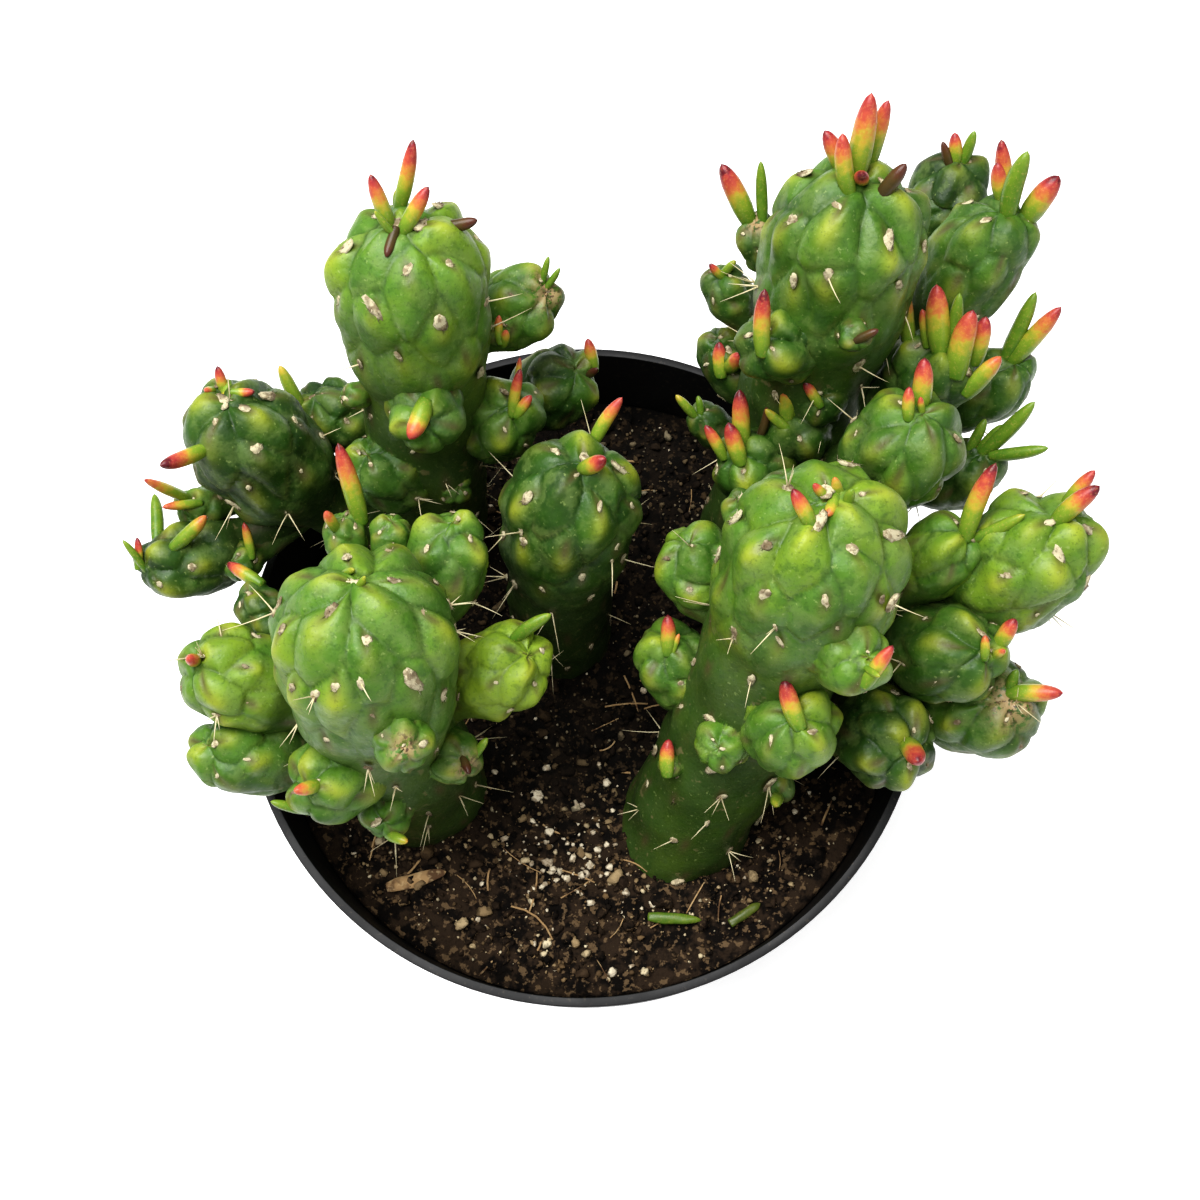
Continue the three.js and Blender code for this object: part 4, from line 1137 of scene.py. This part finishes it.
def model_spine():
    select_nothing()
    bpy.ops.mesh.primitive_cone_add(vertices=5, radius1=1, radius2=SPINE_TIP, depth=1,
                                    location=(0, 0, 0.5))
    spine = name_new_piece("spine_form")
    bpy.ops.object.transform_apply(location=True)
    for cut in (0.35, 0.7):
        edit_all()
        bpy.ops.mesh.bisect(plane_co=(0, 0, cut), plane_no=(0, 0, 1))
    end_edit()
    return spine


WOOL_FORM = pattern_of(model_wool())
SPINE_FORM = pattern_of(model_spine())
print("wool", len(WOOL_FORM[1]), "faces, spine", len(SPINE_FORM[1]), "faces")


# %% Where the areoles are
SOIL_LEVEL = 94 * MM
AREOLE_LEVEL = SOIL_LEVEL + 3 * MM
TOP_AREOLE = 0.8 * MM
LOWEST_AREOLE = 0.93
SKIN_SLACK = 0.3 * MM


def areoles_of(part):
    """The run and angle of each pit on a shoot, from the crown down."""
    knobs = part["knobs"]
    want_run = np.maximum(knobs["run"] + PIT_SHIFT * knobs["cell"] * KNOB_STRETCH, TOP_AREOLE)
    run, angle = want_run, knobs["angle"]
    for _ in range(2):
        now_run, now_angle = warped(part, run, angle)
        run = np.maximum(run + want_run - now_run, TOP_AREOLE)
        angle = angle + knobs["angle"] - now_angle
    on_shoot = run < LOWEST_AREOLE * part["length"]
    return run[on_shoot], angle[on_shoot]


def buried(point, own):
    """Whether a point lies inside another shoot."""
    for part in SHOOTS:
        if part is own:
            continue
        gaps = np.linalg.norm(part["axis"]["point"] - point, axis=1)
        near = int(np.argmin(gaps))
        wide = outline(part, part["axis"]["back"][near:near + 1])[1][0]
        if gaps[near] < wide - SKIN_SLACK:
            return True
    return False


print("areoles:", sum(len(areoles_of(part)[0]) for part in SHOOTS))


# %% [markdown]
# ## Spines that the photo shows
# The clearest tufts of spines stand as near as they can to where the photo shows them. Each is
# given as its spot in the photo, in pixels. The script lays a net over the skin of the trunk,
# looks at it through the camera, and takes the visible place that lies nearest to the spot.

# %% Spines that the photo shows
PHOTO_SIZE = 1200
SPINE_SPOTS = {
    "stem_right_front": [(629, 816), (705, 823), (670, 840), (728, 856), (777, 631), (736, 639),
                         (890, 603)],
    "stem_left_front": [(458, 602), (312, 698), (360, 684), (247, 604), (428, 815)],
    "stem_left_inner": [(516, 533), (612, 562)],
}
NET_STEP = 6
LOWEST_SPINES = 0.965
TURNED_AWAY = -0.15


def photo_pixels(points):
    """Where points come to lie in the photo, seen through the camera."""
    view = np.array(camera.matrix_world.inverted())
    seen = points @ view[:3, :3].T + view[:3, 3]
    scale = PHOTO_SIZE * LENS / SENSOR / seen[:, 2]
    return PHOTO_SIZE / 2 + seen[:, :2] * [-1, 1] * scale[:, None]


def places_of(part, spots):
    """The run and angle on a shoot of each spot in the photo."""
    runs = np.arange(2, LOWEST_SPINES * part["length"] / MM)
    run, angle = np.meshgrid(runs * MM, np.radians(np.arange(0, 360, NET_STEP)), indexing="ij")
    run, angle = run.ravel(), angle.ravel()
    points, normal, _ = on_skin(part, run, angle, np.zeros(len(run)))
    sight = unit(np.array(CAMERA_PLACE) - points)
    hidden = np.sum(normal * sight, axis=1) < TURNED_AWAY
    pixels = photo_pixels(points)
    found = [np.argmin(np.linalg.norm(pixels - spot, axis=1) + hidden * PHOTO_SIZE)
             for spot in spots]
    return run[found], angle[found]


print("spots:", sum(len(spots) for spots in SPINE_SPOTS.values()))


# %% Wool and spines on a stem
WOOL_SIZE = 0.95 * MM
TUFT_SIZES = (0.6, 1.5)
LEAST_WOOL = 0.4
WOOL_GROWTH = 0.05
TUFT_WIDTHS = (0.4, 0.8)
TUFT_LENGTHS = (1, 2.2)
TUFT_HEIGHT = 0.55
TUFT_TURN = 0.5
THICK = 12 * MM
SLENDER = 7 * MM
BALD_THICK = 0.92
BALD_OTHER = 0.6
BUSHY = 0.3
SPINE_LENGTHS = (5, 11)
SPINE_COUNTS = (1, 4)
SPINY = {"slender": 0.02, "crown": 0.04, "trunk": 0.5}
CROWN_END = 2
SPINE_THICKNESS = 0.2 * MM
SPINE_BOW = 0.12
SPINE_ROOT = 0.3 * MM
SPINE_SPREAD = 0.8
NEXT_SPINE = 0.25


def spine_chance(part, run):
    if part["radius"] < SLENDER:
        return SPINY["slender"]
    return SPINY["crown" if run < CROWN_END * part["radius"] else "trunk"]


def lay_tuft(point, normal, along, size, draw):
    """The points of one tuft on the skin, and the direction across it."""
    side = unit(np.cross(normal, along))
    up = np.cross(side, normal)
    spread = [draw.uniform(*TUFT_WIDTHS), draw.uniform(*TUFT_LENGTHS), TUFT_HEIGHT]
    shape = WOOL_FORM[0] * size * np.array(spread)
    turn = draw.normal(0, TUFT_TURN)
    right = shape[:, :1] * math.cos(turn) - shape[:, 1:2] * math.sin(turn)
    ahead = shape[:, :1] * math.sin(turn) + shape[:, 1:2] * math.cos(turn)
    return point + side * right + up * ahead + normal * shape[:, 2:], side, up


def bend_spine(point, way, side, length, bow):
    across = unit(np.cross(way, side + 0.1))
    third = np.cross(way, across)
    t = SPINE_FORM[0][:, 2:3]
    round_it = across * SPINE_FORM[0][:, 0:1] + third * SPINE_FORM[0][:, 1:2]
    return point + way * (t * length - SPINE_ROOT) \
        + across * (SPINE_BOW * bow * length * t ** 2) + round_it * SPINE_THICKNESS


def wool_and_spines(name, parts, draw):
    wool, spines = [], []
    for part in parts:
        radius, thick = part["radius"], part["radius"] > THICK
        run, angle = areoles_of(part)
        seeded = len(run)
        if part is parts[0] and name in SPINE_SPOTS:
            shown_run, shown_angle = places_of(part, SPINE_SPOTS[name])
            run, angle = np.append(run, shown_run), np.append(angle, shown_angle)
        rise, _ = knob_relief(part, run, angle)
        points, normal, along = on_skin(part, run, angle, rise)
        for i, point in enumerate(points):
            size = WOOL_SIZE * draw.uniform(*TUFT_SIZES) * (LEAST_WOOL + WOOL_GROWTH * radius / MM)
            length, count = draw.uniform(*SPINE_LENGTHS) * MM, draw.integers(*SPINE_COUNTS)
            chance, swing, bald = draw.random(), draw.uniform(-1, 1, (3, 2)), draw.random()
            if point[2] < AREOLE_LEVEL or buried(point, part):
                continue
            if bald > (BALD_THICK if thick else BALD_OTHER) and i < seeded:
                continue
            size *= 1 + thick * BUSHY * bump_of(run[i] - 0.5 * radius, radius)
            tuft, side, up = lay_tuft(point, normal[i], along[i], size, draw)
            wool.append(tuft)
            if i < seeded and chance >= spine_chance(part, run[i]):
                continue
            for k in range(count):
                lean = SPINE_SPREAD * (side * swing[k, 0] + up * swing[k, 1])
                spines.append(bend_spine(point, unit(normal[i] + lean), side,
                                         length * (1 - NEXT_SPINE * k), swing[k, 0]))
    return wool, spines


wools, spine_sets = {}, {}
for seed, (name, parts) in enumerate(STEMS.items(), 40):
    wool, spines = wool_and_spines(name, parts, np.random.default_rng(seed))
    wools[name] = copies(name + "_wool", WOOL_FORM, wool)
    spine_sets[name] = copies(name + "_spines", SPINE_FORM, spines)
    print(name, len(wool), "tufts,", len(spines), "spines")


# %% Wool and spine finishes
def wool_finish():
    wool = Finish("areole_wool", {"Roughness": 0.95}, (200, 190, 158))
    wool.paint(((128, 110, 82), (700, 0.46, 0.6), 0.8), ((96, 78, 54), (170, 0.5, 0.62), 0.75))
    return wool.done(2500, 0.6, 0.3)


def spine_finish():
    spine = Finish("spine_horn", {"Roughness": 0.5}, (226, 214, 176))
    spine.paint(((182, 160, 108), (500, 0.5, 0.6), 0.4))
    return spine.done()


WOOL = wool_finish()
SPINE = spine_finish()
for name in STEMS:
    finish_piece(wools[name], WOOL, "dry_plant")
    finish_piece(spine_sets[name], SPINE, "dry_plant")


# %% [markdown]
# ## The nursery pot
# A nursery pot is blow-moulded or injection-moulded in thin black plastic: a tapered wall, an
# upright collar that keeps it stiff, and drain holes in the floor. It is turned up from a circle
# by extruding and resizing one ring after another, first up the outside, over the rim, and then
# down the inside. The drain holes are cut by a Boolean, and a bevel softens the edges.

# %% The pot
POT_HEIGHT = 120 * MM
RIM_RADIUS = 80 * MM
BASE_RADIUS = 57 * MM
WALL = 2 * MM
COLLAR_FOOT = 90 * MM
COLLAR_STEP = 1.6 * MM
POT_FLOOR = 2.5 * MM
DRAIN_RADIUS = 4.5 * MM
DRAIN_CIRCLE = 38 * MM
DRAIN_COUNT = 6
POT_SIDES = 144
DRILL_SIDES = 24
POT_BEVEL = 0.6 * MM
SHARP_EDGE = math.radians(35)


def inner_radius(height):
    if height > COLLAR_FOOT:
        return RIM_RADIUS - WALL
    return BASE_RADIUS - WALL + (RIM_RADIUS - COLLAR_STEP - BASE_RADIUS) * height / COLLAR_FOOT


def model_pot():
    rings = [(RIM_RADIUS - COLLAR_STEP, COLLAR_FOOT), (RIM_RADIUS, COLLAR_FOOT),
             (RIM_RADIUS, POT_HEIGHT), (RIM_RADIUS - WALL, POT_HEIGHT),
             (RIM_RADIUS - WALL, COLLAR_FOOT + WALL), (inner_radius(COLLAR_FOOT), COLLAR_FOOT),
             (inner_radius(POT_FLOOR), POT_FLOOR)]
    select_nothing()
    bpy.ops.mesh.primitive_circle_add(vertices=POT_SIDES, radius=BASE_RADIUS, fill_type="NGON")
    pot = name_new_piece("pot_shell")
    edit_all()
    bpy.ops.mesh.flip_normals()
    radius, height = BASE_RADIUS, 0
    for next_radius, next_height in rings:
        bpy.ops.mesh.extrude_region_move()
        bpy.ops.transform.translate(value=(0, 0, next_height - height))
        share = next_radius / radius
        bpy.ops.transform.resize(value=(share, share, 1), center_override=(0, 0, next_height))
        radius, height = next_radius, next_height
    bpy.ops.mesh.select_all(action="SELECT")
    bpy.ops.mesh.normals_make_consistent(inside=False)
    end_edit()
    return pot


def drill(pot):
    for i in range(DRAIN_COUNT):
        angle = i * TURN / DRAIN_COUNT
        select_nothing()
        bpy.ops.mesh.primitive_cylinder_add(
            vertices=DRILL_SIDES, radius=DRAIN_RADIUS, depth=4 * POT_FLOOR,
            location=(DRAIN_CIRCLE * math.cos(angle), DRAIN_CIRCLE * math.sin(angle), 0))
        bit = bpy.context.object
        apply_modifier(pot, "BOOLEAN", operation="DIFFERENCE", object=bit, solver="EXACT")
        bpy.data.objects.remove(bit)


pot = model_pot()
drill(pot)
apply_modifier(pot, "BEVEL", width=POT_BEVEL, segments=3, limit_method="ANGLE",
               angle_limit=SHARP_EDGE)
work_on(pot)
bpy.ops.object.shade_smooth_by_angle(angle=SHARP_EDGE)
print("pot:", len(pot.data.polygons), "faces")


# %% The pot finish
def pot_finish():
    plastic = Finish("pot_plastic", {"IOR": 1.4}, (13, 13, 14))
    plastic.paint(((21, 21, 22), (60, 0.45, 0.75), 0.5), ((84, 76, 64), (900, 0.6, 0.7), 0.3))
    plastic.sheen((45, 0.3, 0.7), 0.42, 0.6)
    return plastic.done(1200, 0.15, 0.15)


finish_piece(pot, pot_finish(), "pot_plastic", "pot")

# %% [markdown]
# ## The soil
# The pot is filled with dark potting soil. Its body is a plug that starts as a sphere: the upper
# rings of the sphere are laid out flat as the top, and the rest become the side and the base.
# Noise at three sizes makes the top crumbly. On it lie loose crumbs, chips, grit, bright grains
# of perlite and dry fibres, each modelled once and copied with its own turn and size.

# %% The body of the soil
SOIL_RINGS = 120
SOIL_SEGMENTS = 260
TOP_SHARE = 0.7
SOIL_GAP = 0.3 * MM
SWELL_HEIGHT = 0.72
LUMP_HEIGHT = 0.405
SOIL_NOISE = ((7, 5, 1.0), (2.6, 6, 0.8), (1.1, 7, 0.5))
# Where the painted shade between the stems starts and where it is full, front to back.
PAINTED_SHADE_SPAN = (-50 * MM, -18 * MM)
SIDE_SHARES = (0.74, 0.76, 0.9)
EDGE_DROP = 0.5 * MM


def soil_top(points):
    """The height of the soil: two slow waves and noise of three sizes."""
    x, y = points[:, 0] / MM, points[:, 1] / MM
    swell = np.sin(x * 0.11 + 1.3) * np.cos(y * 0.09 - 0.4)
    lumps = np.sin(x * 0.37 + y * 0.21) * np.cos(y * 0.43 - x * 0.13)
    flat = np.c_[points[:, :2], np.zeros(len(points))]
    rough = sum(height * noise_at(flat, size * MM, seed) for size, seed, height in SOIL_NOISE)
    return SOIL_LEVEL + MM * (SWELL_HEIGHT * swell + LUMP_HEIGHT * lumps + rough)


def painted_shade_at(y):
    """Painted shade: pale soil at the front, darkened between the stems towards the back."""
    return smooth_step(y, *PAINTED_SHADE_SPAN)


def model_soil():
    select_nothing()
    bpy.ops.mesh.primitive_uv_sphere_add(segments=SOIL_SEGMENTS, ring_count=SOIL_RINGS, radius=1)
    soil = name_new_piece("soil_body")
    ring, angle = sphere_lines(soil, SOIL_RINGS, SOIL_SEGMENTS)
    share = ring / SOIL_RINGS
    wall, narrow, base = (inner_radius(height) - SOIL_GAP
                          for height in (SOIL_LEVEL, COLLAR_FOOT, POT_FLOOR))
    low = POT_FLOOR + SOIL_GAP
    places = [0, TOP_SHARE, *SIDE_SHARES, 1]
    radius = np.interp(share, places, [0, wall, wall, narrow, base, 0])
    points = np.stack([radius * np.cos(angle), radius * np.sin(angle), np.zeros(len(angle))], 1)
    side = np.interp(share, places[1:], [SOIL_LEVEL - EDGE_DROP, COLLAR_FOOT + WALL + SOIL_GAP,
                                         COLLAR_FOOT + SOIL_GAP, low, low])
    points[:, 2] = np.where(share < TOP_SHARE, soil_top(points), side)
    move_points(soil, points)
    # Painted shade goes onto the soil as a mask, darker towards the back between the stems.
    write_mask(soil, "damp", painted_shade_at(points[:, 1]))
    work_on(soil)
    bpy.ops.object.shade_smooth()
    return soil


soil = model_soil()
print("soil:", len(soil.data.polygons), "faces")


# %% One crumb and one fibre
def model_crumb(name, seed, rough, detail=2):
    select_nothing()
    bpy.ops.mesh.primitive_ico_sphere_add(subdivisions=detail, radius=1)
    crumb = name_new_piece(name)
    points = points_of(crumb)
    dents = noise_at(points, 0.7, seed)[:, None]
    move_points(crumb, points * (1 + rough * dents))
    return crumb


def model_fibre():
    select_nothing()
    bpy.ops.mesh.primitive_cylinder_add(vertices=5, radius=1, depth=1, end_fill_type="TRIFAN")
    fibre = name_new_piece("fibre_form")
    for cut in (-0.25, 0, 0.25):
        edit_all()
        bpy.ops.mesh.bisect(plane_co=(0, 0, cut), plane_no=(0, 0, 1))
    end_edit()
    return fibre


CRUMB_FORM = pattern_of(model_crumb("crumb_form", 11, 0.8))
GRIT_FORM = pattern_of(model_crumb("grit_form", 13, 0.6, 1))
PERLITE_FORM = pattern_of(model_crumb("perlite_form", 15, 0.7))
FIBRE_FORM = pattern_of(model_fibre())
print("crumb", len(CRUMB_FORM[1]), "faces, grit", len(GRIT_FORM[1]), "faces")


# %% What is strewn on the soil
GRAINS = {
    "soil_crumbs": {"form": CRUMB_FORM, "front": 0, "all": 700, "size": (3, 0.32, 0.35),
                    "lift": 0.1},
    "soil_chips": {"form": CRUMB_FORM, "front": 0, "all": 500, "size": (2, 0.32, 0.3),
                   "lift": 0.45},
    "soil_grit": {"form": GRIT_FORM, "front": 0, "all": 4200, "size": (2, 0.13, 0.15),
                  "lift": 0.9},
    "soil_perlite": {"form": PERLITE_FORM, "front": 110, "all": 130, "size": (2, 0.19, 0.2),
                     "lift": 0.6},
}
GRAIN_WIDTHS = (0.6, 1)
GRAIN_HEIGHTS = (0.5, 0.8)
FIBRES = {"count": 110, "length": (4, 13), "thick": (0.12, 0.32), "tilt": (-0.08, 0.3),
          "bow": (-0.15, 0.15), "lift": 0.5 * MM}
FRONT_X = (-3, 9)
FRONT_Y = (-46, 8)
WALL_MARGIN = 3 * MM
STREWN_RADIUS = 74 * MM


def anywhere(draw):
    angle, radius = draw.uniform(0, TURN), STREWN_RADIUS * math.sqrt(draw.random())
    return radius * math.cos(angle), radius * math.sin(angle)


def near_front(draw):
    return draw.normal(*FRONT_X) * MM, draw.normal(*FRONT_Y) * MM


def strewn(count, spread, draw):
    """Places on the soil: at random, or gathered round a spot."""
    places = []
    while len(places) < count:
        x, y = spread(draw)
        if math.hypot(x, y) < inner_radius(SOIL_LEVEL) - WALL_MARGIN:
            places.append((x, y, 0))
    return np.reshape(places, (-1, 3))


def lay_grains(name, kind, draw):
    form, (shape, spread, least) = kind["form"], kind["size"]
    places = np.r_[strewn(kind["front"], near_front, draw), strewn(kind["all"], anywhere, draw)]
    sizes = (draw.gamma(shape, spread, len(places)) + least) * MM
    places[:, 2] = soil_top(places) + sizes * kind["lift"]
    placed, shades = [], []
    for place, size in zip(places, sizes):
        turn = np.array(Matrix.Rotation(draw.uniform(0, TURN), 3, unit(draw.normal(size=3))))
        stretch = [1, draw.uniform(*GRAIN_WIDTHS), draw.uniform(*GRAIN_HEIGHTS)]
        placed.append(form[0] * size * np.array(stretch) @ turn.T + place)
        shades.append(np.full(len(form[0]), draw.random()))
    # Each grain takes the painted shade of its place.
    damp = [np.full(len(form[0]), painted_shade_at(place[1])) for place in places]
    return copies(name, form, placed, {"shade": shades, "damp": damp})


def lay_fibres(name, kind, draw):
    across, up_share, t = (FIBRE_FORM[0][:, i:i + 1] for i in range(3))
    places = strewn(kind["count"], anywhere, draw)
    places[:, 2] = soil_top(places) + kind["lift"]
    placed = []
    for place in places:
        length, thick = draw.uniform(*kind["length"]) * MM, draw.uniform(*kind["thick"]) * MM
        turn = draw.uniform(0, TURN)
        tilt, bow = draw.uniform(*kind["tilt"]), draw.uniform(*kind["bow"])
        way = np.array([math.cos(turn), math.sin(turn), tilt])
        side = np.array([-math.sin(turn), math.cos(turn), 0])
        up = unit(np.cross(way, side))
        placed.append(place + way * t * length + up * up_share * thick
                      + side * (across * thick + bow * length * (1 - 4 * t ** 2)))
    return copies(name, FIBRE_FORM, placed)


draw = np.random.default_rng(9)
grains = {name: lay_grains(name, kind, draw) for name, kind in GRAINS.items()}
fibres = lay_fibres("soil_fibres", FIBRES, draw)
print("grains:", sum(kind["front"] + kind["all"] for kind in GRAINS.values()))


# %% Soil finishes
def soil_finish():
    soil_mix = Finish("potting_soil", {"Roughness": 0.95, "Specular IOR Level": 0.15}, (50, 39, 29))
    # The last layer is painted shade, dark between the stems towards the back.
    soil_mix.paint(((17, 13, 10), (220, 0.42, 0.58)), ((110, 90, 66), (500, 0.55, 0.62), 0.8),
                   ((14, 12, 9), "damp", 0.72))
    return soil_mix.done(900, 0.9, 0.8)


def grit_finish():
    """Each chip and grain of grit has its own shade, from black bark to pale sand."""
    grit = Finish("bark_and_grit", {"Roughness": 0.9, "Specular IOR Level": 0.15})
    grit.ramp(grit.mask("shade"), (0, (26, 20, 15)), (0.3, (66, 52, 38)), (0.55, (116, 94, 66)),
              (0.78, (170, 148, 112)), (1, (224, 210, 176)))
    # The last layer is painted shade, dark between the stems towards the back.
    grit.paint(((34, 24, 17), (400, 0.5, 0.6), 0.5), ((18, 15, 12), "damp", 0.62))
    return grit.done(1100, 0.7, 0.4)


def perlite_finish():
    perlite = Finish("perlite", {"Roughness": 0.85}, (222, 210, 184))
    perlite.paint(((146, 126, 98), (800, 0.46, 0.6), 0.7), ((120, 100, 78), (130, 0.52, 0.6), 0.6))
    return perlite.done(1500, 0.5, 0.3)


def fibre_finish():
    fibre = Finish("dry_fibre", {"Roughness": 0.9}, (168, 136, 94))
    fibre.paint(((92, 66, 42), (110, 0.5, 0.58)), ((198, 172, 128), (700, 0.5, 0.62), 0.5))
    return fibre.done()


SOIL = soil_finish()
FIBRE = fibre_finish()
GRIT = grit_finish()
finish_piece(soil, SOIL, "potting_soil", "soil")
finish_piece(grains["soil_crumbs"], SOIL, "potting_soil")
finish_piece(grains["soil_chips"], GRIT, "potting_soil")
finish_piece(grains["soil_grit"], GRIT, "potting_soil")
finish_piece(grains["soil_perlite"], perlite_finish(), "potting_soil")
finish_piece(fibres, FIBRE, "dry_plant")

# %% [markdown]
# ## What lies on the soil
# A dry husk and two fallen leaves lie loose on the soil. They have the leaf's form, flattened and
# shrunk, so the same form is laid down and dented by noise.

# %% Husk and fallen leaves
LITTER = {
    "dry_husk": {"x": -43, "y": -48.5, "turn": 12, "length": 15, "width": 3.6, "thick": 0.9,
                 "dry": 0.25},
    "fallen_leaf_green": {"x": 19, "y": -60.5, "turn": -6, "length": 13, "width": 2.6,
                          "thick": 1.6, "dry": 0.25},
    "fallen_leaf_dark": {"x": 36, "y": -60, "turn": 30, "length": 9, "width": 2.4, "thick": 1.4,
                         "dry": 0.6},
}
CRUMPLE = 0.3
FALLEN_BLUSH = 0.15


def lay_litter(name, piece, seed):
    low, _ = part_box(name)
    turn = math.radians(piece["turn"])
    way = np.array([math.cos(turn), math.sin(turn), 0])
    side = np.array([-math.sin(turn), math.cos(turn), 0])
    across, up, t = (LEAF_FORM[0][:, i:i + 1] / 2 for i in range(3))
    middle = np.array([piece["x"] * MM, piece["y"] * MM, low.z + piece["thick"] * MM / 2])
    crumple = CRUMPLE * noise_at(LEAF_FORM[0], 0.6, seed)[:, None]
    points = middle + way * t * piece["length"] * MM \
        + side * across * piece["width"] * MM * (1 + crumple)
    points[:, 2:] += (up * piece["thick"] + crumple) * MM
    return copies(name + "_fine", LEAF_FORM, [points],
                  {"along": [t[:, 0] + 0.5], "blush": [np.full(len(t), FALLEN_BLUSH)],
                   "dry": [np.full(len(t), piece["dry"])]})


for seed, (name, piece) in enumerate(LITTER.items(), 20):
    loose = lay_litter(name, piece, seed)
    if name == "dry_husk":
        finish_piece(loose, FIBRE, "dry_plant", name)
    else:
        finish_piece(loose, LEAF_SKIN, "leaf", name)


# %% The floor finish
# The floor glows a little, though it is no lamp: the glow lifts the shadow the plant casts on it
# and lights the plant from below.
GLOWING_PAPER = {"Roughness": 0.9, "Emission Color": (1, 1, 1, 1), "Emission Strength": 0.45}
floor.data.materials.append(Finish("glowing_paper", GLOWING_PAPER, (250, 250, 250)).done())
